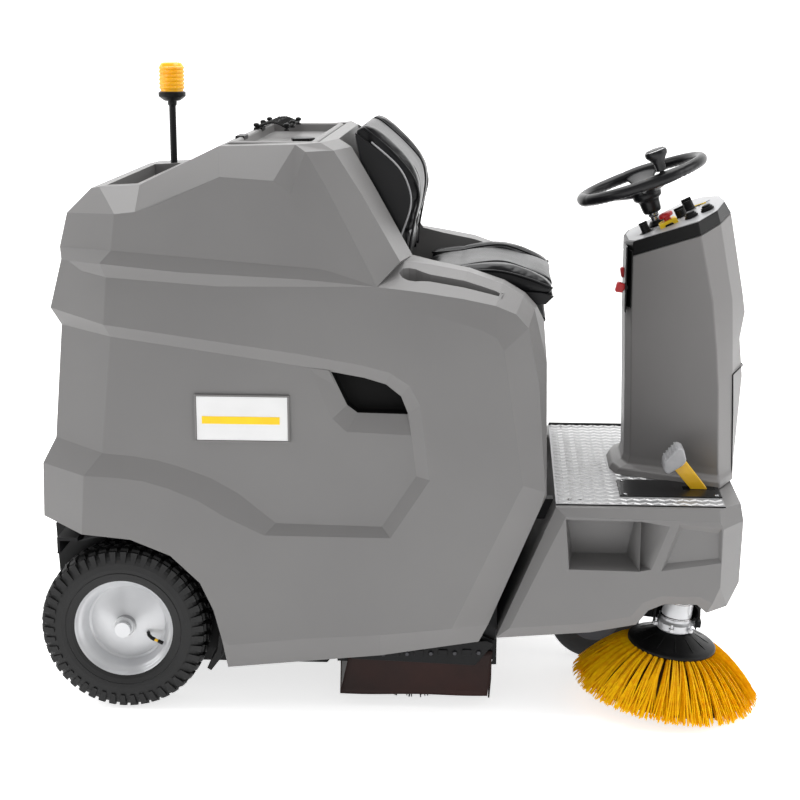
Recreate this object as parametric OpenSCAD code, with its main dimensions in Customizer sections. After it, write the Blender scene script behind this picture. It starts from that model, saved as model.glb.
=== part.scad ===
// Ride-on vacuum sweeper with three wheels, one roller brush and one side brush.
// Millimetres. +X is forward, +Y is the driver's left, +Z is up, and the floor is Z = 0.
// Every sub-part is drawn in the machine's own coordinates, measured from the rear axle
// and the middle plane, and machine() then puts the centre of the whole footprint at 0.

/* [Body] */
// Half the width over the side panels
body_half = 460; // [440:5:480]
// Wall of the rotomoulded housings
shell_wall = 8; // [5:1:12]
// Height of the storage top above the floor
top_z = 1377; // [1350:1:1400]
// Height of the rear tray's rim
tray_z = 1274; // [1240:1:1300]
// Height of the footplate's tread
foot_z = 531; // [525:1:540]

/* [Wheels] */
// Outer radius of the rear tyres
rear_r = 207; // [200:1:212]
// Width of a rear tyre
rear_w = 102; // [90:1:104]
// Distance from the middle plane to the middle of a rear tyre
rear_track = 388; // [385:1:392]
// Distance from the rear axle to the steering axis
wheelbase = 1160; // [1150:1:1170]
// Outer radius of the front tyre
front_r = 120; // [110:1:122]
// Width of the front tyre
front_w = 66; // [50:1:70]

/* [Brushes] */
// Radius of the roller brush over its bristles
roller_r = 140; // [125:1:141]
// Half the length of the roller brush
roller_half = 345; // [300:5:350]
// Radius of the side brush at the bristle tips
side_r = 218; // [200:1:220]
// Radius of the side brush's black disc
dish_r = 108; // [90:1:112]
// Forward tilt of the side brush in degrees
side_pitch = 7; // [4:0.5:8]
// Outward tilt of the side brush in degrees
side_roll = 3; // [0:0.5:4]

/* [Steering] */
// Outer radius of the steering wheel
wheel_r = 168; // [150:1:175]
// Backward lean of the steering shaft in degrees
shaft_lean = 20; // [16:1:24]
// Slope of the control panel in degrees
panel_tilt = 26; // [22:1:28]

/* [Seat] */
// Half the width of the seat cushion
seat_half = 232; // [210:1:235]
// Height of the hinged seat plate's upper face
seat_plate_z = 955; // [950:1:960]

/* [Hidden] */
$fn = 64;

eps = 0.5;                 // how far a cutter runs past the face it opens
run = 0.05;                // radial clearance of a running shaft

// Centre of the footprint, which becomes X = Y = 0
rear_x = -191;
brush_x = 1322;            // middle of the side brush's bristle tips
brush_y = -287;
brush_tip_z = 38;
front_x = brush_x + side_r * cos(side_pitch);
right_y = brush_y - side_r * cos(side_roll);
centre_x = (front_x - rear_r) / 2;
centre_y = (right_y + body_half) / 2;

module machine() translate([-centre_x, -centre_y, 0]) children();

// ---- small helpers ----

// Block between two corners
module block(a, b) translate(a) cube(b - a);

// The same block on both sides of the middle plane, given for the left side
module block_pair(a, b) for (s = [0, 1]) mirror([0, s, 0]) block(a, b);

// Children drawn on both sides of the middle plane
module both_sides() for (s = [0, 1]) mirror([0, s, 0]) children();

// XZ outline extruded along Y from y0 to y1
module side_slab(points, y0, y1)
    translate([0, y1, 0]) rotate([90, 0, 0]) linear_extrude(y1 - y0) polygon(points);

// YZ outline extruded along X from x0 to x1
module cross_slab(points, x0, x1)
    translate([x0, 0, 0]) rotate([90, 0, 90]) linear_extrude(x1 - x0) polygon(points);

// Cylinder along Y from y0 to y1 around (x, z)
module rod_y(x, z, r, y0, y1) translate([x, y1, z]) rotate([90, 0, 0]) cylinder(r = r, h = y1 - y0);

// Cylinder along Z
module rod_z(x, y, r, z0, z1) translate([x, y, z0]) cylinder(r = r, h = z1 - z0);

// ---- rear hood ----

hood_front_x = 1019;
seat_well_half = 255;
lid_x0 = 262;
lid_x1 = 478;
lid_half = 343;
tray_x0 = -22;
tray_x1 = 52;
tray_y0 = -335;
tray_y1 = 215;
tray_depth = 90;
arch_r = 238;

// The hood has no floor, so its hollow runs out below its side outline
function open_by(w) = w > 0 ? 20 : 0;

// Side outline of the hood, w inside its outer face
function hood_outline(w) = [
    [255 - open_by(w), 116 - open_by(w)], [866, 193 - open_by(w)], [889 - w, 197 - open_by(w)],
    [hood_front_x - w, 537], [hood_front_x - w - 2, 859], [995 - w, 981 - w],
    [939 - w / 2, 1050 - w], [740 + w / 2, 1097 - w], [673 + w / 2, 1105 - w],
    [520 - w, top_z - 2 - w], [470, top_z - w], [254 + w / 2, 1367 - w], [64 + w / 2, tray_z - w],
    [-62 + w, 1264 - w], [-108 + w, 1212 - w], [-127 + w, 1125], [-153 + w, 990],
    [-131 + w, 948], [-157 + w, 674], [rear_x + w + 3, 613], [rear_x + w, 473 - open_by(w)],
    [-84, 455 - open_by(w)], [-open_by(w), 455 - open_by(w)], [90 - open_by(w), 300]
];

// Cross outline with chamfered shoulders: drop is the chamfer's height, in its depth
function shoulder(w, top, drop, in) = [
    [-body_half + w, 0], [body_half - w, 0], [body_half - w, top - drop],
    [body_half - in - w / 2, top - w], [-body_half + in + w / 2, top - w], [-body_half + w, top - drop]
];

module hood_sections(w) {
    tray_cut = shoulder(w, tray_z, 56, 110);
    top_cut = shoulder(w, top_z, 76, 70);
    cross_slab(tray_cut, -200, 64);
    hull() {
        cross_slab(tray_cut, 63, 64);
        cross_slab(top_cut, 262, 263);
    }
    cross_slab(top_cut, 262, 560);
    cross_slab(shoulder(w, 1150, 60, 40), 560, 1030);
}

module hood_solid(w) intersection() {
    side_slab(hood_outline(w), -body_half, body_half);
    hood_sections(w);
}

// Space in front of and under the seat, between the two armrests
module seat_well(w) side_slab([
    [515 - w, 1400], [590 - w, seat_plate_z - 17 - w], [1040, seat_plate_z - 17 - w], [1040, 1400]
], -seat_well_half - w, seat_well_half + w);

// Recess for the rear tray
module tray_well(w)
    block([tray_x0 - w, tray_y0 - w, tray_z - tray_depth - w], [tray_x1 + w, tray_y1 + w, 1400]);

// Deep moulded hand recess in each side panel
module hand_recess(w) side_slab([
    [527 - w, 852 + w], [640, 830 + w], [684 + w, 790], [684 + w, 757 - w], [549 - w, 757 - w], [527 - w, 785]
], -body_half - 1, -body_half + 70 + w);

// Cup holder and its slot in the top of each armrest
module armrest_recess(w) {
    translate([745, -350, 1040 - w]) cylinder(r = 42 + w, h = 100);
    block([745, -368 - w, 1040 - w], [905 + w, -332 + w, 1150]);
}

module hood_recesses(w) {
    seat_well(w);
    tray_well(w);
    both_sides() {
        hand_recess(w);
        armrest_recess(w);
    }
}

// Lid hinge knuckles on the rear edge of the hood's opening
hinge_x = 260;
hinge_z = 1378;
module hood_knuckles() for (y = [-220, 80]) {
    rod_y(hinge_x, hinge_z, 4, y, y + 19.6);
    block([240, y, 1360], [hinge_x, y + 19.6, 1377]);
}

module rear_hood() color("#7b7b78") machine() difference() {
    union() {
        hood_solid(0);
        hood_knuckles();
    }
    hood_recesses(0);
    difference() {
        hood_solid(shell_wall);
        hood_recesses(shell_wall);
    }
    block([lid_x0, -lid_half - 2, 1300], [lid_x1, lid_half + 2, 1400]);
    block([rear_x - 1, -body_half + shell_wall, 400], [rear_x + 80, body_half - shell_wall, 470]);
    both_sides() rod_y(0, rear_r, arch_r, -body_half - 1, -body_half + shell_wall + 1);
    block([610, -seat_well_half + 25, 900], [985, seat_well_half - 25, seat_plate_z]);
    frame_members(0.5);
    seat_posts(0.5);
    tunnel_space();
}

// Room for the brush tunnel where the hood and the front body meet
module tunnel_space() block([510, -377, 90], [910, 377, 329]);

// ---- front body, footplate and column ----

front_half = 440;
front_outline = [
    [902, 201], [1127, 222], [1236, 244], [1262, 278], [1302, 297], [1378, 297], [1400, 276],
    [1450, 289], [1482, 330], [1488, 485], [1484, foot_z - 2], [1041, foot_z - 2]
];
front_cavity = [
    [914, 190], [1127, 190], [1462, 190], [1474, 335], [1479, 485], [1476, foot_z - 14],
    [1048, foot_z - 14]
];

// Plan of the front body with bevelled front corners, w inside its outer face
function front_plan(w) = [
    [880, -front_half + w], [1432 - w / 2, -front_half + w], [1490 - w, -366 + w / 2],
    [1490 - w, 366 - w / 2], [1432 - w / 2, front_half - w], [880, front_half - w]
];

module front_solid(outline, w) intersection() {
    side_slab(outline, -front_half, front_half);
    linear_extrude(700) polygon(front_plan(w));
}

module front_body() color("#7b7b78") machine() difference() {
    front_solid(front_outline, 0);
    difference() {
        front_solid(front_cavity, shell_wall);
        both_sides() block([1054, -front_half - 1, 368], [1249, -front_half + 92, 520]);
    }
    both_sides() block([1062, -front_half - 1, 378], [1241, -front_half + 82, 510]);
    block([1060, -286, 500], [1460, 286, foot_z]);
    frame_members(0.5);
    tunnel_space();
    for (x = [1100, 1440], y = [-360, 360]) rod_z(x, y, 4.2, 500, foot_z);
    rod_z(1385, -252, 26, 500, foot_z);
    rod_z(1385, 252, 26, 500, foot_z);
}

foot_half = 400;
plate_x0 = 1041;
plate_x1 = 1440;

// Bullet-shaped plan of the column, w inside its outer face
function column_plan(w) = [
    [1213 + w, -62 + w / 2], [1240 + w, -118 + w], [1440, -215 + w], [1488 - w, -150 + w], [1512 - w, -60],
    [1512 - w, 60], [1488 - w, 150 - w], [1440, 215 - w], [1240 + w, 118 - w], [1213 + w, 62 - w / 2]
];
function column_side(w, base) = [
    [1222 + w, base], [1213 + w, 953], [1213 + w, panel_z(1213) - 6 - w],
    [1440, panel_z(1440) - 6 - w], [1476 - w, 1172 - w], [1512 - w, 938], [1502 - w, 871],
    [1512 - w, 775], [1500 - w, 560], [1488 - w, base]
];
function panel_z(x) = 1112 + (x - 1213) * tan(panel_tilt);

module column_solid(w, base) intersection() {
    side_slab(column_side(w, base), -230, 230);
    translate([0, 0, 400]) linear_extrude(900) polygon(column_plan(w));
}

// The service door's part of the column's front, grown by g all round
module door_zone(g) block([1452 - g, -230, 570 - g], [1520, 230, 772 + g]);

module column_shell() color("#7d7d7a") machine() difference() {
    union() {
        column_solid(0, foot_z + 0.3);
        column_foot();
    }
    column_solid(6, foot_z - 20);
    door_zone(1);
    block([1200, -105, 935], [1254, -20, 1080]);
    for (p = control_spots) on_panel(p[0], p[1]) cylinder(r = 8, h = 60, center = true);
    translate([1297, 0, 1130]) rotate([0, -shaft_lean, 0]) cylinder(r = 22, h = 100, center = true);
    rod_z(1385, -252, 30, 500, 700);
    rod_z(1385, 252, 30, 500, 700);
}

// Low foot of the column round its base
module column_foot() translate([0, 0, foot_z + 0.3]) linear_extrude(18)
    polygon([[1190, -50], [1200, -125], [1240, -165], [1470, -200], [1485, -150], [1485, 150], [1470, 200],
        [1240, 165], [1200, 125], [1190, 50]]);

module column_cover() color("#6f6f6d") machine() difference() {
    intersection() {
        column_solid(0, foot_z);
        door_zone(-0.5);
    }
    column_solid(5, foot_z - 20);
}

module footplate() color("#c6c8ca") machine() difference() {
    block([plate_x0, -foot_half, foot_z - 2], [plate_x1, foot_half, foot_z]);
    block([1250, -100, foot_z - 3], [plate_x1 + 1, 100, foot_z + 1]);
    block([1196, -328, foot_z - 3], [1446, -182, foot_z + 1]);
    block([1300, 182, foot_z - 3], [1446, 328, foot_z + 1]);
    for (y = [-360, 360]) rod_z(1100, y, 4.2, foot_z - 3, foot_z + 1);
}

// Stop switch, program, fan speed, key, horn and shaker
control_spots = [[1318, -78], [1375, 18], [1350, -34], [1262, -52], [1366, -108], [1405, -100]];
module on_panel(x, y) translate([x, y, panel_z(x)]) rotate([0, -panel_tilt, 0]) children();

module control_panel() color("#a9abad") machine() difference() {
    intersection() {
        side_slab([[1213, panel_z(1213) - 5.7], [1440, panel_z(1440) - 5.7], [1440, panel_z(1440)],
            [1213, panel_z(1213)]], -230, 230);
        translate([0, 0, 1000]) linear_extrude(400) polygon(column_plan(2));
    }
    translate([1297, 0, 1150]) rotate([0, -shaft_lean, 0]) cylinder(r = 22, h = 120, center = true);
    for (p = control_spots) on_panel(p[0], p[1]) cylinder(r = 8, h = 30, center = true);
}

// ---- lid, filter, fan, net ----

module filter_lid() color("#767673") machine() {
    difference() {
        block([lid_x0 + 2, -lid_half, 1330], [lid_x1 - 2, lid_half, 1374]);
        block([lid_x0 + 12, -lid_half + 10, 1340], [lid_x1 - 12, lid_half - 10, 1375]);
    }
    for (y = [-200, 100]) {
        rod_y(hinge_x, hinge_z, 4, y, y + 60);
        block([hinge_x, y, 1374], [lid_x0 + 12, y + 60, 1377]);
    }
}

module air_filter() color("#d9d4c4") machine() difference() {
    block([270, -300, 1150], [460, 300, 1230]);
    for (i = [0 : 13]) block([280 + i * 12.5, -290, 1160], [286 + i * 12.5, 290, 1231]);
}

module suction_fan() color("#2b2b2b") machine() {
    difference() {
        rod_z(360, 0, 110, 950, 1080);
        rod_z(360, 0, 100, 960, 1070);
        rod_z(360, 0, 55, 1065, 1085);
    }
    rod_z(360, 0, 38, 962, 1040);
    rod_z(360, 0, 48, 880, 949);
    difference() {
        block([360, 95, 965], [420, 180, 1065]);
        block([368, 90, 973], [412, 181, 1057]);
        rod_z(360, 0, 109, 950, 1080);
    }
}

module luggage_net() color("#161616") machine() {
    for (i = [0 : 6]) block([lid_x0 + 14, 60 + i * 42, 1376], [lid_x1 - 14, 64 + i * 42, 1380]);
    for (i = [0 : 4]) block([lid_x0 + 14 + i * 45, 60, 1380], [lid_x0 + 18 + i * 45, 316, 1384]);
    for (x = [lid_x0 + 4, lid_x1 - 9], y = [70, 190, 310]) rod_z(x + 2.5, y, 5, 1374, 1386);
}

// ---- chassis ----

rail_y0 = 290;
rail_y1 = 320;
rail_z0 = 470;
rail_z1 = 520;
stub_r = 15;
pivot_x = 860;             // roller arm pivot
pivot_z = 285;
arm_pin_r = 8;
side_pivot_x = 1120;       // side brush arm pivot
side_pivot_z = 335;

// Rails, crossmembers and seat posts, each c larger all round
module frame_members(c) {
    block_pair([-150 - c, rail_y0 - c, rail_z0 - c], [1420 + c, rail_y1 + c, rail_z1 + c]);
    for (x = [-150, 540, 950, 1330])
        block([x - c, -rail_y0, rail_z0 - c], [x + 40 + c, rail_y0, rail_z1 + c]);
}
module seat_posts(c) both_sides() {
    block([330 - c, 260 - c, rail_z1 + 1], [345 + c, 320 + c, 948 + c]);
    block([960 - c, 260 - c, rail_z1 + 1], [975 + c, 320 + c, 935 + c]);
}

module chassis() color("#303234") machine() {
    difference() {
        union() {
            frame_members(0);
            block([1110, -rail_y0, 480], [1210, rail_y0, 490]);
            rod_z(wheelbase, 0, 40, 430, 490);
            block_pair([-60, 300, 150], [60, 312, rail_z0]);
            block_pair([520, 300, 325], [580, 312, rail_z0]);
            block_pair([868, 300, 325], [925, 312, rail_z0]);
            for (y = [-334, -262]) block([1100, y, 310], [1140, y + 8, rail_z0]);
            block([1100, -334, 455], [1140, -254, rail_z0]);
        }
        both_sides() rod_y(0, rear_r, stub_r, 290, 322);
        rod_z(wheelbase, 0, 32, 429, 500);
        rod_y(side_pivot_x, side_pivot_z, arm_pin_r, -340, -250);
    }
    rod_y(side_pivot_x, side_pivot_z, arm_pin_r, -340, -250);
    seat_posts(0);
}

module inner_fenders() color("#1c1c1c") machine() both_sides() difference() {
    union() {
        rod_y(0, rear_r, 246, -450, -318);
        block([-150, -450, 150], [-100, -318, 440]);
    }
    rod_y(0, rear_r, 241, -451, -322);
    block([-300, -452, -50], [300, -322, 150]);
    block([-300, -452, -50], [300, -300, 118]);
    block([-144, -451, 100], [-90, -322, 432]);
    block([-300, -452, 100], [-146, -322, 400]);
    block([-300, -452, -50], [-168, -300, 500]);
    rod_y(0, rear_r, 30, -330, -310);
}

module mud_flaps() color("#141414") machine() both_sides()
    block([248, -446, 60], [252, -330, 190]);

module battery_pack() color("#202226") machine() {
    for (i = [0 : 1], j = [0 : 1]) {
        block([610 + i * 185, -175 + j * 178, 525], [790 + i * 185, j * 178 - 3, 800]);
        for (x = [640, 760], y = [-140, -40]) rod_z(x + i * 185, y + j * 178, 9, 800, 818);
    }
}

// ---- waste container ----

module waste_container() color("#262626") machine() {
    difference() {
        block([-172, -285, 70], [495, 285, 440]);
        block([-166, -279, 76], [489, 279, 434]);
        block([480, -270, 110], [500, 270, 420]);
    }
    difference() {
        block([-186, -120, 380], [-172, 120, 420]);
        block([-181, -110, 388], [-171, 110, 425]);
    }
}

// ---- rear wheels ----

rim_r = 112;
hub_r = 42;
bearing_r = 26;

// Ring of revolution about the Y axis through the rear axle, from (radius, y) points
module axle_turn(points) translate([0, 0, rear_r]) rotate([-90, 0, 0]) rotate_extrude($fn = 96) polygon(points);

tyre_in = rear_track - rear_w / 2;
tyre_out = rear_track + rear_w / 2;

// Tyre, for the left side
module rear_tyre() axle_turn([
    [rim_r, tyre_in + 14], [rim_r + 8.3, tyre_in + 14], [rim_r + 30, tyre_in], [rear_r - 24, tyre_in],
    [rear_r - 6, tyre_in + 12],
    [rear_r, tyre_in + 26], [rear_r, tyre_out - 26], [rear_r - 6, tyre_out - 12], [rear_r - 24, tyre_out],
    [rim_r + 30, tyre_out], [rim_r + 8.3, tyre_out - 14], [rim_r, tyre_out - 14], [rim_r, tyre_out - 22],
    [rim_r + 40, tyre_out - 12],
    [rear_r - 20, tyre_out - 26], [rear_r - 20, tyre_in + 26], [rim_r + 40, tyre_in + 12], [rim_r, tyre_in + 22]
]);

// Pressed wheel with a conical dish and its hub, for the left side
module rear_rim() axle_turn([
    [rim_r - 5, tyre_in + 12], [rim_r + 8, tyre_in + 8], [rim_r + 8, tyre_in + 13.8], [rim_r - 0.3, tyre_in + 13.8],
    [rim_r - 0.3, tyre_out - 13.8], [rim_r + 8, tyre_out - 13.8], [rim_r + 8, tyre_out - 6],
    [rim_r - 5, tyre_out - 12], [rim_r - 8, tyre_out - 34], [rim_r - 20, tyre_out - 40], [hub_r, tyre_out - 24],
    [hub_r, tyre_out - 8], [hub_r - 14, tyre_out], [19.5, tyre_out], [19.5, tyre_out - 10], [bearing_r, tyre_out - 14],
    [bearing_r, tyre_in + 16], [hub_r - 8, tyre_in + 16], [hub_r - 8, tyre_out - 34], [rim_r - 24, tyre_out - 48],
    [rim_r - 8, tyre_out - 46]
]);

module rear_tyre_right() color("#1a1a1a") machine() mirror([0, 1, 0]) rear_tyre();
module rear_tyre_left() color("#1a1a1a") machine() rear_tyre();
module rear_rim_right() color("#c9ccce") machine() mirror([0, 1, 0]) rear_rim();
module rear_rim_left() color("#c9ccce") machine() rear_rim();

module rear_axles() color("#8d9093") machine() both_sides() {
    rod_y(0, rear_r, stub_r, -436, -294);
    rod_y(0, rear_r, 24, -346, -324);
    rod_y(0, rear_r, 19, -447, -436.2);
}

// Each ring is fixed to the stub and the hub runs round it
module wheel_bearings() color("#b4b7ba") machine() both_sides() for (y = [-372, -422])
    difference() {
        rod_y(0, rear_r, bearing_r - run, y, y + 14);
        rod_y(0, rear_r, stub_r, y - 1, y + 15);
    }

// ---- front wheel and steering ----

module front_turn(points) translate([wheelbase, 0, front_r]) rotate([-90, 0, 0])
    rotate_extrude($fn = 96) polygon(points);

front_rim = 84;
fork_in = 42;

module front_tyre() color("#1a1a1a") machine() front_turn([
    [front_rim, -front_w / 2 + 2], [front_r - 10, -front_w / 2], [front_r, -front_w / 2 + 8],
    [front_r, front_w / 2 - 8], [front_r - 10, front_w / 2], [front_rim, front_w / 2 - 2]
]);

module hub_motor() color("#9a9da0") machine() front_turn([
    [10 + run, -36], [40, -36], [60, -30], [front_rim - 0.3, -28], [front_rim - 0.3, 28], [60, 30], [40, 36],
    [10 + run, 36]
]);

module front_fork() color("#2e3032") machine() {
    both_sides() side_slab([[wheelbase - 22, 98], [wheelbase + 22, 98], [wheelbase + 40, 260],
        [wheelbase + 40, 300], [wheelbase - 40, 300], [wheelbase - 40, 260]], fork_in, fork_in + 8);
    rod_y(wheelbase, front_r, 10, -fork_in, fork_in);
    block([wheelbase - 50, -fork_in - 8, 290], [wheelbase + 50, fork_in + 8, 302]);
    rod_z(wheelbase, 0, 20, 302, 516);
    rod_z(wheelbase, 0, 60, 360, 366);
}

module steering_bearing() color("#b4b7ba") machine() for (z = [432, 474]) difference() {
    rod_z(wheelbase, 0, 32, z, z + 14);
    rod_z(wheelbase, 0, 20 + run, z - 1, z + 15);
}

// Frame on the steering shaft's axis, with Z = 0 in the plane of the wheel's rim
module on_shaft() translate([1250, 0, 1262]) rotate([0, -shaft_lean, 0]) children();

module steering_shaft() color("#77797b") machine() on_shaft() {
    translate([0, 0, -330]) cylinder(r = 10, h = 268);
    translate([0, 0, -326]) difference() {
        cylinder(r = 30, h = 6);
        for (i = [0 : 15]) rotate(i * 22.5) translate([31, 0, -1]) cylinder(r = 3.4, h = 8, $fn = 24);
    }
}

// The spoke on the driver's right, which carries the spinner knob
spoke_side = 287;

module steering_wheel() color("#1b1b1b") machine() on_shaft() {
    rotate_extrude($fn = 96) translate([wheel_r - 14, 0]) circle(r = 14, $fn = 32);
    difference() {
        translate([0, 0, -70]) cylinder(r = 32, h = 46);
        translate([0, 0, -71]) cylinder(r = 10, h = 20);
    }
    for (a = [190, spoke_side - 200, spoke_side]) rotate(a) difference() {
        side_slab([[22, -56], [60, -44], [wheel_r - 20, -8], [wheel_r - 20, 6], [60, -26], [22, -30]], -16, 16);
        translate([0, 0, -61]) cylinder(r = 21, h = 80);
    }
    rotate(spoke_side) translate([wheel_r - 14, 0, 12]) cylinder(r = 6, h = 42);
}

module spinner_knob() color("#161616") machine() on_shaft() rotate(spoke_side) translate([wheel_r - 14, 0, 0])
    difference() {
        rotate_extrude() polygon([[0, 60], [0, 76], [16, 76], [27, 70], [28, 60], [22, 50], [13, 40], [12, 18],
            [6 + run, 18], [6 + run, 58], [0, 58]]);
        translate([0, 0, 17]) cylinder(r = 6 + run, h = 41);
    }

// ---- seat ----

module seat_plate() color("#3a3c3e") machine() {
    difference() {
        block([606, -248, seat_plate_z - 14], [1006, 248, seat_plate_z]);
        block([600, -238, seat_plate_z - 15], [1000, 238, seat_plate_z - 4]);
    }
    rod_y(1006, seat_plate_z - 8, 6, -248, 248);
}

module seat_rails() color("#55585b") machine() both_sides() difference() {
    block([660, 150, seat_plate_z + 0.2], [960, 180, seat_plate_z + 14]);
    block([650, 156, seat_plate_z + 4], [970, 174, seat_plate_z + 15]);
}

module seat_shell() color("#1f1f1f") machine() {
    side_slab([[536, 1406], [604, 1012], [650, seat_plate_z + 18], [1010, seat_plate_z + 20], [1040, 1000],
        [1040, 1006], [1004, seat_plate_z + 28], [654, seat_plate_z + 26], [613, 1016], [545, 1406]],
        -seat_half + 6, seat_half - 6);
    both_sides() block([670, 157, seat_plate_z + 5], [950, 173, seat_plate_z + 24]);
}

module seat_cushion() color("#242424") machine()
    side_slab([[690, 990], [1000, 990], [1046, 1016], [1050, 1040], [1000, 1066], [900, 1080], [790, 1062], [690, 1050]],
        -seat_half, seat_half);

module seat_backrest() color("#242424") machine()
    side_slab([[628, 1006], [682, 1062], [680, 1130], [708, 1210], [716, 1253], [700, 1300], [650, 1348],
        [560, 1412], [550, 1406]], -seat_half, seat_half);

// ---- roller brush ----

roller_x = 700;
flap_x = 889;              // hinge of the debris flap
flap_z = 122;
roller_z = roller_r + 2;

module roller_core() color("#8d9093") machine() {
    difference() {
        rod_y(roller_x, roller_z, 60, -roller_half, roller_half);
        rod_y(roller_x, roller_z, 54, -roller_half + 6, roller_half - 6);
        rod_y(roller_x, roller_z, 14, -roller_half - 1, roller_half + 1);
    }
    rod_y(roller_x, roller_z, 14, -roller_half - 12, roller_half + 12);
}

module roller_bristles() color("#2a2a2a") machine() difference() {
    rod_y(roller_x, roller_z, roller_r, -roller_half, roller_half);
    rod_y(roller_x, roller_z, 60, -roller_half - 1, roller_half + 1);
}

module roller_arms() color("#3b3d40") machine() both_sides() difference() {
    union() {
        hull() {
            rod_y(roller_x, roller_z, 26, 349, 357);
            rod_y(pivot_x, pivot_z, 22, 349, 357);
        }
    }
    rod_y(roller_x, roller_z, 14 + run, 340, 360);
    rod_y(pivot_x, pivot_z, 10 + run, 340, 360);
}

module brush_tunnel() color("#2c2e30") machine() {
    difference() {
        block([515, -372, 112], [905, 372, 324]);
        block([510, -368, 100], [901, 368, 320]);
        block([895, -366, 100], [906, 366, 132]);
        rod_y(flap_x, flap_z, 6 + run, -380, 380);
    }
    both_sides() rod_y(pivot_x, pivot_z, 10, 348, 370);
}

module flap_brackets() color("#222324") machine() both_sides() difference() {
    side_slab([[540, 128], [860, 118], [892, 140], [899, 178], [870, 190], [560, 150], [540, 150]], 374, 384);
    for (x = [800, 845]) rod_y(x, 155, 5, 370, 390);
}

module sealing_strips() color("#3b2420") machine() {
    both_sides() side_slab([[523, 28], [874, 28], [888, 128], [888, 150], [545, 134], [540, 120]], 386, 391);
    block([505, -365, 12], [510, 365, 150]);
}

// Front flap that lets coarse debris in
module debris_flap() color("#3b2420") machine() {
    block([flap_x - 3, -340, 10], [flap_x + 3, 340, 118]);
    rod_y(flap_x, flap_z, 6, -371, 371);
}

// ---- side brush ----

dish_drop = 128;           // from the disc's middle to the bristle tips, along the axis

module on_side_brush() translate([brush_x, brush_y, brush_tip_z])
    rotate([side_roll, side_pitch, 0]) children();

module side_brush_bristles() color("#f2b90c") machine() on_side_brush() rotate_extrude($fn = 96)
    polygon([[side_r, 0], [side_r - 8, 14], [dish_r + 4, dish_drop - 26], [dish_r - 10, dish_drop - 14],
        [dish_r - 30, dish_drop - 20], [side_r - 50, 0]]);

module side_brush_dish() color("#181818") machine() on_side_brush() difference() {
    rotate_extrude($fn = 96) polygon([[12 + run, dish_drop - 20], [dish_r - 31, dish_drop - 19.5],
        [dish_r - 9, dish_drop - 13], [dish_r, dish_drop - 16], [dish_r, dish_drop - 4], [dish_r - 22, dish_drop + 8],
        [40, dish_drop + 20], [12 + run, dish_drop + 20]]);
    for (a = [0 : 120 : 240]) rotate(a) translate([60, 0, dish_drop - 30]) cylinder(r = 4, h = 60);
}

module side_brush_motor() color("#26282a") machine() on_side_brush() {
    translate([0, 0, dish_drop + 24]) cylinder(r = 44, h = 22);
    translate([0, 0, dish_drop + 46]) cylinder(r = 37, h = 70);
    translate([0, 0, dish_drop - 18]) cylinder(r = 12, h = 42);
}

module side_brush_arm() color("#1d1f20") machine() {
    difference() {
        union() {
            rod_y(side_pivot_x, side_pivot_z, 16, -324, -264);
            side_slab([[side_pivot_x, side_pivot_z - 12], [1255, 300], [1255, 312], [side_pivot_x, side_pivot_z + 12]],
                -318, -270);
        }
        rod_y(side_pivot_x, side_pivot_z, arm_pin_r + run, -330, -250);
    }
    on_side_brush() difference() {
        translate([0, 0, dish_drop + 117]) union() {
            cylinder(r = 46, h = 7);
            translate([-95, -24, 0]) cube([95, 48, 7]);
        }
    }
}

// ---- pedals ----

pedal_x = 1398;
pedal_z = 508;

module drive_pedal() color("#f0b400") machine() {
    difference() {
        side_slab([[pedal_x - 14, 496], [pedal_x + 12, 496], [pedal_x + 10, 535], [1352, 604], [1330, 592],
            [pedal_x - 20, 530]], -262, -242);
        rod_y(pedal_x, pedal_z, 5 + run, -270, -230);
    }
    side_slab([[1340, 604], [1350, 640], [1336, 650], [1312, 612], [1320, 590]], -290, -214);
}

module pedal_plate() color("#191919") machine() {
    difference() {
        block([1196.5, -327, foot_z - 2], [1445, -218, foot_z + 2]);
        block([1352, -268, foot_z - 3], [1432, -236, foot_z + 3]);
        for (x = [1206, 1432], y = [-318, -228]) rod_z(x, y, 3, foot_z - 3, foot_z + 3);
    }
    difference() {
        block([1300.5, 218, foot_z - 2], [1445, 327, foot_z + 2]);
        block([1360, 240, foot_z - 3], [1432, 266, foot_z + 3]);
    }
    for (y = [-252, 252]) {
        rod_y(pedal_x, pedal_z, 5, y - 26, y + 26);
        for (side = [-30, 26]) block([pedal_x - 10, y + side, 500], [pedal_x + 10, y + side + 4, foot_z - 2]);
    }
}

module flap_pedal() color("#1b1b1b") machine() {
    difference() {
        side_slab([[pedal_x - 14, 496], [pedal_x + 12, 496], [pedal_x + 8, 540], [1370, 575], [1350, 566],
            [pedal_x - 16, 530]], 246, 258);
        rod_y(pedal_x, pedal_z, 5 + run, 240, 270);
    }
    side_slab([[1372, 570], [1366, 584], [1338, 572], [1346, 560]], 222, 282);
}

// ---- panel controls ----

module stop_switch_base() color("#f2c200") machine() on_panel(1318, -78) difference() {
    translate([0, 0, 0.2]) cylinder(r = 21, h = 14);
    cylinder(r = 12 + run, h = 20);
}

module stop_button() color("#c8161d") machine() on_panel(1318, -78) {
    translate([0, 0, 4.5]) cylinder(r = 12, h = 19.5);
    translate([0, 0, 20]) cylinder(r = 18, h = 10);
}

module rotary_knob(x, y, r, h) on_panel(x, y) {
    translate([0, 0, 0.5]) cylinder(r = r, h = h * 0.4);
    translate([-r * 0.9, -r * 0.3, h * 0.4]) cube([r * 1.8, r * 0.6, h * 0.6]);
    translate([0, 0, -10]) cylinder(r = 5, h = 12);
}

module program_knob() color("#1b1b1b") machine() rotary_knob(1375, 18, 20, 34);
module fan_knob() color("#1b1b1b") machine() rotary_knob(1350, -34, 15, 24);
module key_switch() color("#1b1b1b") machine() rotary_knob(1262, -52, 13, 26);

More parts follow.
